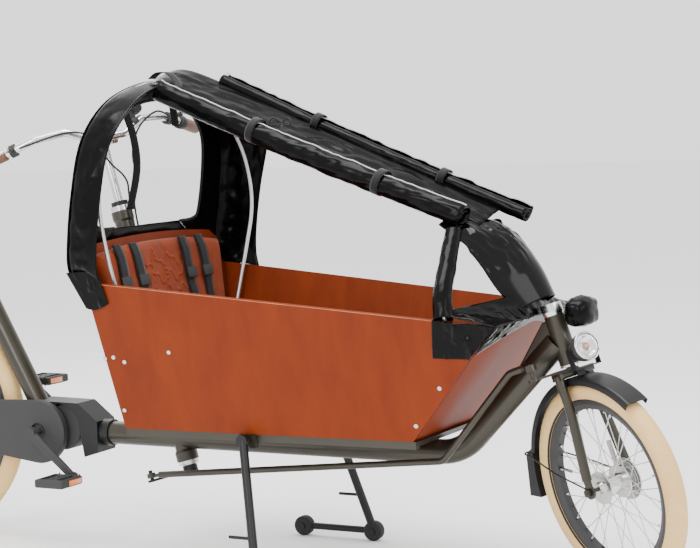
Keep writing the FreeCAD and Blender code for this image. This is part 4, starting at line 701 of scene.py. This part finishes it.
    def roof(self) -> None:
        """The narrow roof strip that stays between the two rolls."""
        def surface(share: float, down: float) -> Vector:
            """From the right roll over the ridge poles up to the left roll, rear to front."""
            across = -0.050 + 0.104 * share
            lift = 0.016 + 0.036 * share ** 0.8
            spot = self.ridge(down, across * 0.6, 0)
            fold = crease(Vector((spot.x * 0.5, spot.y * 2.0, spot.z * 0.5)), 0.06, 0.010, 2.2)
            lift -= 0.040 * math.exp(-down * 30)
            lift += fold * math.sin(math.pi * min(1.0, share * 1.1))
            return self.ridge(1.07 * down - 0.03, across, lift)

        sheet_piece("canopy_roof_strip", surface, (20, 110), self.cloth, CANOPY)

    def roll(self, name: str, start: Vector, end: Vector, radius: float, seed: float) -> None:
        """One side panel rolled up along the ridge, with a light grey tube along its outer edge as a painted
        highlight, and its end folds.

        Args:
            name: right or left.
            start: the middle of its rear end.
            end: the middle of its front end.
            radius: its outer radius.
            seed: where its folds start.
        """
        way = (end - start).normalized()
        out = Vector((0, -1 if name == "right" else 1, 0))
        out = (out - way * out.dot(way)).normalized()
        up = out.cross(way) if name == "right" else way.cross(out)
        turns = 2.3
        ties = (0.33, 0.74)

        def surface(share: float, along: float) -> Vector:
            """Round the spiral and along the roll."""
            turn = -0.6 + share * turns * TAU
            size = radius * (0.36 + 0.62 * share)
            waist = 1.0
            for tied in ties:
                waist -= 0.07 * math.exp(-((along - tied) / 0.03) ** 2)
            flat = 1 - 0.16 * math.sin(turn) ** 2
            centre = start.lerp(end, along) + Vector((0, 0, -0.006 * math.sin(math.pi * along)))
            spot = centre + out * math.cos(turn) * radius + up * math.sin(turn) * radius
            fold = crease(Vector((spot.x * 0.35, spot.y, spot.z * 1.4)), 0.035, 0.007, seed) * share ** 3
            size = size * waist + fold
            return centre + out * (math.cos(turn) * size) + up * (math.sin(turn) * size * flat)

        sheet_piece(f"canopy_rolled_side_{name}", surface, (110, 96), self.cloth * 0.7, CANOPY,
                    hide=[f"canopy_roll_{name}"])
        # A light grey tube along the roll's outer edge: a painted highlight for the shine of its glossy edge.
        bm = bmesh.new()
        edge = [surface(1.0, i / 60) for i in range(61)]
        tube_along(bm, edge, lambda share: 0.0019, 8, 200)
        finish_piece(bm, f"roll_edge_highlight_{name}", ROLL_EDGE_HIGHLIGHT, "frame")
        for index, place in enumerate(ties):
            self.tie(f"roll_tie_{name}_{index + 1}", start.lerp(end, place), way, out, up, radius * 0.99)

    def tie(self, name: str, centre: Vector, way: Vector, out: Vector, up: Vector, radius: float) -> None:
        """A webbing strap round a roll.

        Args:
            name: the piece's name.
            centre: the roll's middle there.
            way: along the roll.
            out: across it.
            up: above it.
            radius: the roll's radius.
        """
        def surface(share: float, along: float) -> Vector:
            """Round the roll, 20 mm wide."""
            turn = TAU * share
            shape = out * math.cos(turn) * radius + up * math.sin(turn) * radius * 0.9
            return centre + shape + way * ((along - 0.5) * 0.020)

        sheet_piece(name, surface, (48, 3), 0.0018, WEBBING,
                    closed=True)

    def front_window(self) -> None:
        """The glossy front window that hangs from the front hoop down to the head."""
        middle = [Vector((0.690, 0, 0.880)), Vector((0.772, 0, 0.862)), Vector((0.840, 0, 0.820)),
                  Vector((0.888, 0, 0.756)), Vector((0.922, 0, 0.690))]
        edge = [Vector((0.690, 0.118, 0.862)), Vector((0.750, 0.116, 0.820)), Vector((0.792, 0.110, 0.764)),
                Vector((0.828, 0.104, 0.708)), Vector((0.866, 0.086, 0.662))]

        def surface(share: float, down: float) -> Vector:
            """Across from right to left, down from the hoop."""
            side = 2 * share - 1
            inner, outer = smooth_line(middle, down), smooth_line(edge, down)
            arch = 1 - side * side
            point = Vector((outer.x + (inner.x - outer.x) * arch, outer.y * side,
                            outer.z + (inner.z - outer.z) * arch))
            fold = crease(Vector((point.x * 0.5, point.y * 1.6, point.z * 0.5)), 0.05, 0.014, 6.6)
            return point + Vector((0.8, 0, 0.5)) * fold * math.sin(math.pi * min(1.0, down * 1.3 + 0.05))

        sheet_piece("canopy_front_drape", surface, (60, 60), self.cloth, DRAPE,
                    hide=["canopy_front_window"])

    def build(self) -> None:
        """Builds the whole canopy."""
        self.wall()
        self.side_strips()
        self.cuffs()
        self.roof()
        self.roll("right", Vector((-0.085, -0.082, 1.192)), Vector((0.742, -0.088, 0.8770)), 0.036, 1.4)
        self.roll("left", Vector((0.008, 0.068, 1.216)), Vector((0.836, 0.064, 0.8725)), 0.026, 4.9)
        self.front_window()
        self.apron()
        self.sleeves()
        self.pocket()
        self.loops()

    def apron(self) -> None:
        """The skirt over the box's front corner, folded over the rim on each side."""
        for name, side in (("right", -1), ("left", 1)):
            normal = Vector((0.0394, 0.9604 * side, -0.2757))

            def panel(x: float, z: float, side: int = side) -> Vector:
                """A point of the side board's outer face."""
                high = 0.732 - (x + 0.172) * 0.0879
                half_high = 0.320 - (x + 0.172) * 0.0663
                half_low = 0.212 - (x + 0.142) * 0.041
                share = (z - 0.360) / (high - 0.360)
                return Vector((x, side * (half_low + (half_high - half_low) * share), z))

            def surface(share: float, down: float, normal: Vector = normal,
                        panel: Callable = panel) -> Vector:
                """Along the rim and down the board, as far as its front edge."""
                rim = 0.732 - (0.80 + 0.172) * 0.0879 + 0.004
                z = rim + (0.566 - rim) * down
                ahead = 0.638 + (z - 0.360) * 0.846
                behind = 0.734 - 0.012 * down
                x = behind + (ahead - behind) * share
                z += (0.80 - x) * 0.0879 * (1 - down)
                point = panel(x, z)
                fold = crease(Vector((point.x * 1.2, point.y, point.z * 0.7)), 0.045, 0.012, 7.7) + 0.001
                return point + normal * (0.0025 + max(fold, 0.0) + 0.004 * down * (1 - down))

            sheet_piece(f"canopy_apron_{name}", surface, (48, 30), self.cloth, CANOPY,
                        hide=["canopy_apron"])

        def front(share: float, down: float) -> Vector:
            """The front board's flap under its rim."""
            side = 2 * share - 1
            way = Vector((0.237, 0, 0.280)).normalized()
            ahead = Vector((way.z, 0, -way.x))
            drop = 0.018 + 0.070 * abs(side) ** 1.3
            point = Vector((0.875, 0, 0.640)) + ahead * 0.0045 + way * 0.008
            point.y = side * (0.2555 - 0.22 * drop * down)
            point -= way * (drop * down)
            fold = crease(point, 0.04, 0.006, 9.1)
            return point + ahead * (0.001 + max(fold, 0.0))

        sheet_piece("canopy_front_flap", front, (84, 18), self.cloth, CANOPY)

        def hood(share: float, down: float) -> Vector:
            """The cloth from the drape's foot out to the box's front corners."""
            side = 2 * share - 1
            top = Vector((0.880 - 0.136 * abs(side) ** 1.6, side * 0.264, 0.674 + 0.034 * (1 - abs(side))))
            low = Vector((0.890, side * 0.256, 0.643))
            point = top.lerp(low, down)
            fold = crease(Vector((point.x, point.y * 1.4, point.z)), 0.05, 0.012, 11.3)
            return point + Vector((0.6, 0, 0.7)) * fold * math.sin(math.pi * down)

        sheet_piece("canopy_nose_cloth", hood, (72, 14), self.cloth, CANOPY)

    def sleeves(self) -> None:
        """The flattened sleeves round the front hoop's two legs."""
        for name, side in (("right", -1), ("left", 1)):
            line = [Vector((0.760, side * 0.258, 0.656)), Vector((0.750, side * 0.236, 0.712)),
                    Vector((0.739, side * 0.180, 0.776)), Vector((0.726, side * 0.116, 0.846))]
            bm = bmesh.new()
            tube_along(bm, line, lambda share: 0.0235 - 0.004 * share, 28, 50, capped=False)
            bm.normal_update()
            for vert in bm.verts:
                spot = Vector((vert.co.x * 2, vert.co.y, vert.co.z * 0.4))
                vert.co += vert.normal * crease(spot, 0.03, 0.0025, 2.9 + side)
            bmesh.ops.solidify(bm, geom=bm.faces[:], thickness=self.cloth)
            finish_piece(bm, f"hoop_sleeve_{name}", CANOPY, "frame")

    def pocket(self) -> None:
        """The closed black pouch on the nose, ahead of the head tube."""
        bm = bmesh.new()
        place = Matrix.Translation((0.990, 0, 0.653)) @ Matrix.Rotation(math.radians(12), 4, "Y")
        box(bm, Vector((0.064, 0.100, 0.068)), place, 0.0)
        bmesh.ops.subdivide_edges(bm, edges=bm.edges[:], cuts=9, use_grid_fill=True)
        centre = place.translation
        for vert in bm.verts:
            away = vert.co - centre
            soft = (abs(away.x / 0.034) ** 3 + abs(away.y / 0.052) ** 3 + abs(away.z / 0.036) ** 3) ** (1 / 3)
            vert.co = centre + away * (1.0 / max(soft, 0.75)) * 0.97
            vert.co += away.normalized() * crease(vert.co, 0.03, 0.006, 3.3)
        piece = finish_piece(bm, "nose_pouch", CANOPY, "frame")

    def loops(self) -> None:
        """Straps that hang inside the window, the loop at the peak and the bow that ties the rolls."""
        for index, route in enumerate((
                [Vector((-0.150, -0.150, 1.150)), Vector((-0.146, -0.120, 1.080)),
                 Vector((-0.150, -0.105, 1.000)), Vector((-0.166, -0.118, 0.900))],
                [Vector((-0.118, 0.010, 1.200)), Vector((-0.108, 0.008, 1.150)),
                 Vector((-0.106, 0.014, 1.105))],
                [self.ridge(0.005, -0.060, 0.012), self.ridge(0.020, -0.055, 0.034),
                 self.ridge(0.050, -0.052, 0.042), self.ridge(0.095, -0.066, 0.030),
                 self.ridge(0.110, -0.090, 0.016)])):
            def surface(share: float, along: float, route: list = route) -> Vector:
                """A hanging webbing strap, 18 mm wide."""
                point = smooth_line(route, along)
                return point + Vector((0.010, 0.015, 0)) * (share - 0.5) * 1.1

            sheet_piece(f"hanging_strap_{index + 1}", surface, (3, 40), 0.0016, WEBBING)
        bm = bmesh.new()
        knot = self.ridge(0.42, -0.05, 0.044)
        for side in (-1, 1):
            bow = [knot, knot + Vector((side * 0.022, -0.006, 0.012)),
                   knot + Vector((side * 0.030, -0.010, -0.004)),
                   knot + Vector((side * 0.012, -0.004, -0.006)), knot]
            tube_along(bm, bow, lambda share: 0.0018, 8, 40)
            tail = [knot, knot + Vector((side * 0.010, -0.018, -0.016)),
                    knot + Vector((side * 0.022, -0.028, -0.044))]
            tube_along(bm, tail, lambda share: 0.0018, 8, 20)
        finish_piece(bm, "tie_bow", WEBBING, "frame")


# ---------------------------------------------------------------- box

@dataclass
class CargoBox:
    """The box's soft seat back, harness and the light cut edges of its boards."""

    foot: Vector = field(default_factory=lambda: Vector((-0.080, 0.0, 0.3752)))
    lean: float = 77.5
    low: float = 0.222
    rise: float = 0.456
    thickness: float = 0.026
    strap_places: tuple[float, ...] = (-0.206, -0.128, 0.092, 0.168)

    def back_point(self, along: float, across: float, ahead: float) -> Vector:
        """A point up the back rest, across it and off its face."""
        lean = math.radians(self.lean)
        return self.foot + Vector((-along * math.cos(lean) + ahead * math.sin(lean), across,
                                   along * math.sin(lean) + ahead * math.cos(lean)))

    def half_width(self, along: float) -> float:
        """The pad's half width at a height up the back rest."""
        share = (along - self.low) / (self.rise - self.low)
        return 0.243 + (0.284 - 0.243) * min(1.0, share / 0.78)

    def pattern(self, across: float, along: float) -> float:
        """A raised pattern of interlaced waves between the harness pairs, from 0 to 1."""
        if abs(across + 0.018) > 0.088:
            return 0.0
        value = 0.0
        for row, phase in enumerate((0.0, 1.3, 2.5)):
            wave = 0.012 * math.sin(across * 95 + phase)
            line = 0.395 - row * 0.042 + wave + 0.006 * math.sin(across * 210 - phase)
            value = max(value, 1 - abs(along - line) / 0.0042)
            curl = math.hypot(across + 0.075 - 0.048 * row * 0.9 - 0.02, along - line)
            value = max(value, 1 - abs(curl - 0.013) / 0.0040)
        return max(0.0, min(1.0, value * 1.6))

    def pad(self) -> None:
        """The crowned padded cover, its sides pulled in, with the raised pattern and its border turned back
        and closed.
        """
        def surface(share: float, up: float) -> Vector:
            """The pad's front, from right to left and from its foot up."""
            side = 2 * share - 1
            top = self.rise - 0.020 * abs(side) ** 2.4 - 0.006
            along = self.low + (top - self.low) * up
            across = side * self.half_width(along)
            edge = min(1 - abs(side), min(up, 1 - up) * 0.8) * 12
            crown = math.sqrt(max(0.0, 1 - (1 - min(1.0, edge)) ** 2))
            quilt = 0.003 * math.sin(math.pi * side) ** 2
            fold = crease(Vector((0, across, along)), 0.12, 0.004, 1.9) * crown
            raised = 0.0026 * self.pattern(across, along)
            ahead = 0.004 + (self.thickness - 0.008 + quilt + fold) * crown + raised
            return self.back_point(along, across, ahead)

        bm = bmesh.new()
        grid(bm, surface, 220, 120)
        border = [edge for edge in bm.edges if edge.is_boundary]
        back = bmesh.ops.extrude_edge_only(bm, edges=border)["geom"]
        rear = [item for item in back if isinstance(item, bmesh.types.BMVert)]
        lean = math.radians(self.lean)
        bmesh.ops.translate(bm, vec=Vector((-math.sin(lean), 0, -math.cos(lean))) * 0.0034, verts=rear)
        bmesh.ops.contextual_create(bm, geom=[e for e in back if isinstance(e, bmesh.types.BMEdge)])
        piece = finish_piece(bm, "seat_back_cover", PAD, "frame")
        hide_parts("seat_back_pad")

    def harness(self) -> None:
        """Four webbing straps in two pairs, lying over the cover."""
        for index, place in enumerate(self.strap_places):
            def surface(share: float, up: float, place: float = place) -> Vector:
                """Across the strap and up the back."""
                along = self.low + 0.006 + (self.rise - 0.014 - self.low) * up
                across = place + (share - 0.5) * 0.036 + 0.004 * math.sin(3 * up + place * 30)
                ripple = 0.0035 * abs(math.sin(4.5 * up + place * 11))
                lift = 0.029 + ripple - 0.006 * max(0.0, up - 0.86) / 0.14
                return self.back_point(along, across, lift)

            sheet_piece(f"harness_strap_{index + 1}", surface, (4, 44), 0.0022, WEBBING,
                        hide=["harness_straps"] if index == 0 else [])
            bm = bmesh.new()
            centre = self.back_point(0.35, place, 0.0345)
            turn = Matrix.Rotation(math.radians(90 - self.lean), 4, "Y")
            box(bm, Vector((0.005, 0.042, 0.028)), Matrix.Translation(centre) @ turn.inverted(), 0.0015)
            finish_piece(bm, f"harness_slider_{index + 1}", BLACK_PLASTIC, "frame")

    def cut_edges(self) -> None:
        """The lighter cut edge of the plywood along both rims."""
        start, end = Vector((-0.172, 0.314, 0.7326)), Vector((0.875, 0.2445, 0.6406))
        width, height = 0.0112, 0.0006
        for name, side in (("right", -1), ("left", 1)):
            way = Vector((end.x - start.x, side * (end.y - start.y), end.z - start.z))
            across = Vector((0, 1, 0))
            middle = Vector(((start.x + end.x) / 2, side * (start.y + end.y) / 2, (start.z + end.z) / 2))
            ahead = way.normalized()
            above = ahead.cross(across).normalized()
            place = Matrix((ahead, across, above)).transposed().to_4x4()
            bm = bmesh.new()
            box(bm, Vector((way.length - 0.004, width, height)), Matrix.Translation(middle) @ place)
            finish_piece(bm, f"cut_edge_rim_{name}", PLY_EDGE, "frame", smooth=False)

    def build(self) -> None:
        """Builds the soft seat back and the edges."""
        self.pad()
        self.harness()
        self.cut_edges()


# ---------------------------------------------------------------- wheels

@dataclass
class Wheel:
    """A cream tyre with its tread, the valve, the spoke nipples and the bead line by the rim."""

    end: str
    place: Matrix
    radius: float
    bead: float
    section: float = 0.025
    blocks: int = 84

    def tyre(self) -> None:
        """The tyre's hollow section with raised tread and ribbed sidewalls."""
        bm = bmesh.new()
        steps = self.blocks * 4
        ring = self.radius - self.section - 0.0012
        outline = []
        for i in range(25):
            turn = math.radians(-146 + 292 * i / 24)
            out = ring + self.section * 0.985 * math.cos(turn)
            outline.append((out, self.section * 0.97 * math.sin(turn), turn))
        outline.append((self.bead + 0.0035, 0.0125, math.pi))
        outline.append((self.bead + 0.0035, -0.0125, math.pi))
        rows = []
        for step in range(steps):
            angle = TAU * step / steps
            row = []
            for radius, height, turn in outline:
                crown = abs(turn) < math.radians(48)
                groove = (step % 4 == 0) if abs(turn) > math.radians(14) else (step % 4 == 2)
                raised = 0.0011 if crown and not groove else 0.0
                if abs(abs(turn) - math.radians(62)) < math.radians(7):
                    raised = 0.0006
                radius += raised * math.cos(turn)
                height += raised * math.sin(turn)
                row.append(bm.verts.new((radius * math.cos(angle), radius * math.sin(angle), height)))
            rows.append(row)
        for low, high in zip(rows, rows[1:] + rows[:1]):
            for i in range(len(outline)):
                k = (i + 1) % len(outline)
                bm.faces.new((low[i], low[k], high[k], high[i]))
        bmesh.ops.transform(bm, matrix=self.place, verts=bm.verts)
        piece = finish_piece(bm, f"{self.end}_tyre_treaded", TYRE, f"{self.end}_wheel")
        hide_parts(f"{self.end}_tyre")

    def details(self) -> None:
        """Spoke nipples, the valve and the dark bead line by the rim."""
        upright = Matrix.Rotation(math.radians(90), 4, "Y")
        bm = bmesh.new()
        for index in range(36):
            angle = TAU * index / 36
            side = 1 if index % 2 else -1
            out = self.bead - 0.0255
            turn = Matrix.Rotation(angle, 4, "Z") @ Matrix.Translation((out, 0, side * 0.0042)) @ upright
            made = bmesh.ops.create_cone(bm, cap_ends=True, segments=8, radius1=0.0022, radius2=0.0022,
                                         depth=0.012)
            bmesh.ops.transform(bm, matrix=turn, verts=made["verts"])
        bmesh.ops.transform(bm, matrix=self.place, verts=bm.verts)
        finish_piece(bm, f"{self.end}_nipples", SILVER, f"{self.end}_wheel")
        bm = bmesh.new()
        stem = bmesh.ops.create_cone(bm, cap_ends=True, segments=12, radius1=0.0034, radius2=0.003,
                                     depth=0.040)
        turn = Matrix.Rotation(math.radians(200), 4, "Z") @ Matrix.Translation((self.bead - 0.040, 0, 0))
        turn = turn @ upright
        bmesh.ops.transform(bm, matrix=self.place @ turn, verts=stem["verts"])
        finish_piece(bm, f"{self.end}_valve", BLACK_RUBBER, f"{self.end}_wheel")
        bm = bmesh.new()
        ring = ((0.0030, 0.0150), (0.0075, 0.0178), (0.0060, 0.0192), (0.0018, 0.0162))
        for side in (-1, 1):
            turned(bm, [(self.bead + out, side * z) for out, z in ring], self.place, 120)
        finish_piece(bm, f"{self.end}_bead_line", BLACK_RUBBER, f"{self.end}_wheel")

    def build(self) -> None:
        """Builds the tyre and the small parts."""
        self.tyre()
        self.details()


# ---------------------------------------------------------------- small parts

@dataclass
class Saddle:
    """The padded saddle, broad behind and narrow ahead."""

    def build(self) -> None:
        """Lofts the saddle's cover over its CAD stand-in."""
        low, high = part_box("saddle")
        length = high.x - low.x
        stations = [(0.0, 0.052, 0.012, 0.020), (0.06, 0.080, 0.005, 0.034), (0.22, 0.091, 0.001, 0.040),
                    (0.42, 0.070, 0.004, 0.036), (0.62, 0.040, 0.007, 0.031), (0.82, 0.024, 0.008, 0.028),
                    (0.95, 0.019, 0.009, 0.024), (1.0, 0.010, 0.014, 0.014)]

        def surface(share: float, along: float) -> Vector:
            """Round the section and from tail to nose."""
            place = smooth_line([Vector(s[1:]) for s in stations], along)
            x = low.x + length * smooth_line([Vector((s[0], 0, 0)) for s in stations], along).x
            turn = TAU * share
            across = place.x * math.copysign(abs(math.cos(turn)) ** 0.8, math.cos(turn))
            rise = math.sin(turn)
            centre = high.z - place.y - place.z * 0.5
            groove = 0.004 * math.exp(-(across / 0.010) ** 2) * max(0.0, rise)
            sag = 0.25 * abs(across) * place.z * 5
            return Vector((x, across, centre + place.z * 0.5 * rise - groove - sag))

        bm = bmesh.new()
        grid(bm, surface, 56, 60, closed=True)
        bmesh.ops.holes_fill(bm, edges=[e for e in bm.edges if e.is_boundary])
        piece = finish_piece(bm, "saddle_padded", SADDLE_COVER, "saddle")
        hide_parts("saddle")


@dataclass
class Lamps:
    """The headlamp's bowl, its ring and the light in its middle."""

    place: Matrix

    def build(self) -> None:
        """Fits the bowl behind the clear lens and the silver ring round it."""
        bm = bmesh.new()
        turned(bm, [(0.0004, 0.0146), (0.012, 0.0156), (0.022, 0.0188), (0.0292, 0.0205), (0.0296, 0.0150),
                    (0.0004, 0.0144)], self.place, 48)
        finish_piece(bm, "headlamp_bowl", MIRROR_BOWL, "headlamp")
        bm = bmesh.new()
        turned(bm, [(0.0304, 0.0212), (0.0334, 0.0212), (0.0340, 0.0228), (0.0326, 0.0240), (0.0306, 0.0236)],
               self.place, 56)
        finish_piece(bm, "headlamp_ring", SILVER, "headlamp")
        bm = bmesh.new()
        made = bmesh.ops.create_uvsphere(bm, u_segments=16, v_segments=10, radius=0.0055)
        bmesh.ops.transform(bm, matrix=self.place @ Matrix.Translation((0, 0, 0.0205)), verts=made["verts"])
        finish_piece(bm, "headlamp_led", AMBER, "headlamp")


@dataclass
class PedalReflectors:
    """Amber reflectors on each pedal's ends and raised studs on its faces."""

    def build(self) -> None:
        """Puts two reflectors and the studs on each pedal."""
        for name in ("right", "left"):
            low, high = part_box(f"pedal_{name}")
            middle = (low + high) / 2
            bm = bmesh.new()
            for x in (low.x - 0.0004, high.x + 0.0004):
                box(bm, Vector((0.002, 0.052, 0.013)), Matrix.Translation((x, middle.y, middle.z)), 0.0006)
            finish_piece(bm, f"pedal_reflectors_{name}", AMBER, f"pedal_{name}")
            bm = bmesh.new()
            for x in (-0.032, 0.0, 0.032):
                for y in (-0.036, -0.012, 0.012, 0.036):
                    for z in (low.z, high.z):
                        made = bmesh.ops.create_icosphere(bm, subdivisions=1, radius=0.0026)
                        bmesh.ops.translate(bm, vec=(middle.x + x, middle.y + y, z), verts=made["verts"])
            finish_piece(bm, f"pedal_studs_{name}", BLACK_RUBBER, f"pedal_{name}")


def dress_frame() -> None:
    """Gives each CAD node that shows its finish."""
    for name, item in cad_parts.items():
        finish = CAD_FINISHES.get(name)
        if finish is None:
            continue
        item.data.materials.clear()
        item.data.materials.append(finish.material())


# metres, except for the two angles
FRONT_AXLE = Vector((1.053, 0, 0.253))
REAR_AXLE = Vector((-0.947, 0, 0.327))
HEAD_ANGLE = 71.4
FORK_TURN = -32
LAMP_ON_FORK = Vector((0.064, 0, 0.318))
FRONT_RADIUS = 0.250
FRONT_BEAD = 0.203
REAR_RADIUS = 0.327
REAR_BEAD = 0.2795


def turned_fork() -> Matrix:
    """The fork's frame at the front axle, with its lean and its turn to the right."""
    return frame_place(FRONT_AXLE, HEAD_ANGLE, FORK_TURN)


def front_wheel_place() -> Matrix:
    """The turned front wheel's frame, with Z along its axle."""
    return turned_fork() @ Matrix.Rotation(math.radians(-90), 4, "X")


def rear_wheel_place() -> Matrix:
    """The rear wheel's frame, with Z along its axle."""
    return Matrix.Translation(REAR_AXLE) @ Matrix.Rotation(math.radians(-90), 4, "X")


def lamp_place() -> Matrix:
    """The headlamp's frame on the turned fork, with Z out of its lens."""
    return turned_fork() @ Matrix.Translation(LAMP_ON_FORK) @ Matrix.Rotation(math.radians(84), 4, "Y")


def main() -> None:
    """Builds the studio, then every part's looks in order."""
    logging.basicConfig(level=logging.INFO, format="%(name)s: %(message)s")
    Studio().build()
    Cables().build()
    dress_frame()
    Canopy().build()
    CargoBox().build()
    Wheel("front", front_wheel_place(), FRONT_RADIUS, FRONT_BEAD).build()
    Wheel("rear", rear_wheel_place(), REAR_RADIUS, REAR_BEAD).build()
    Saddle().build()
    Lamps(lamp_place()).build()
    PedalReflectors().build()


if __name__ == "__main__":
    main()
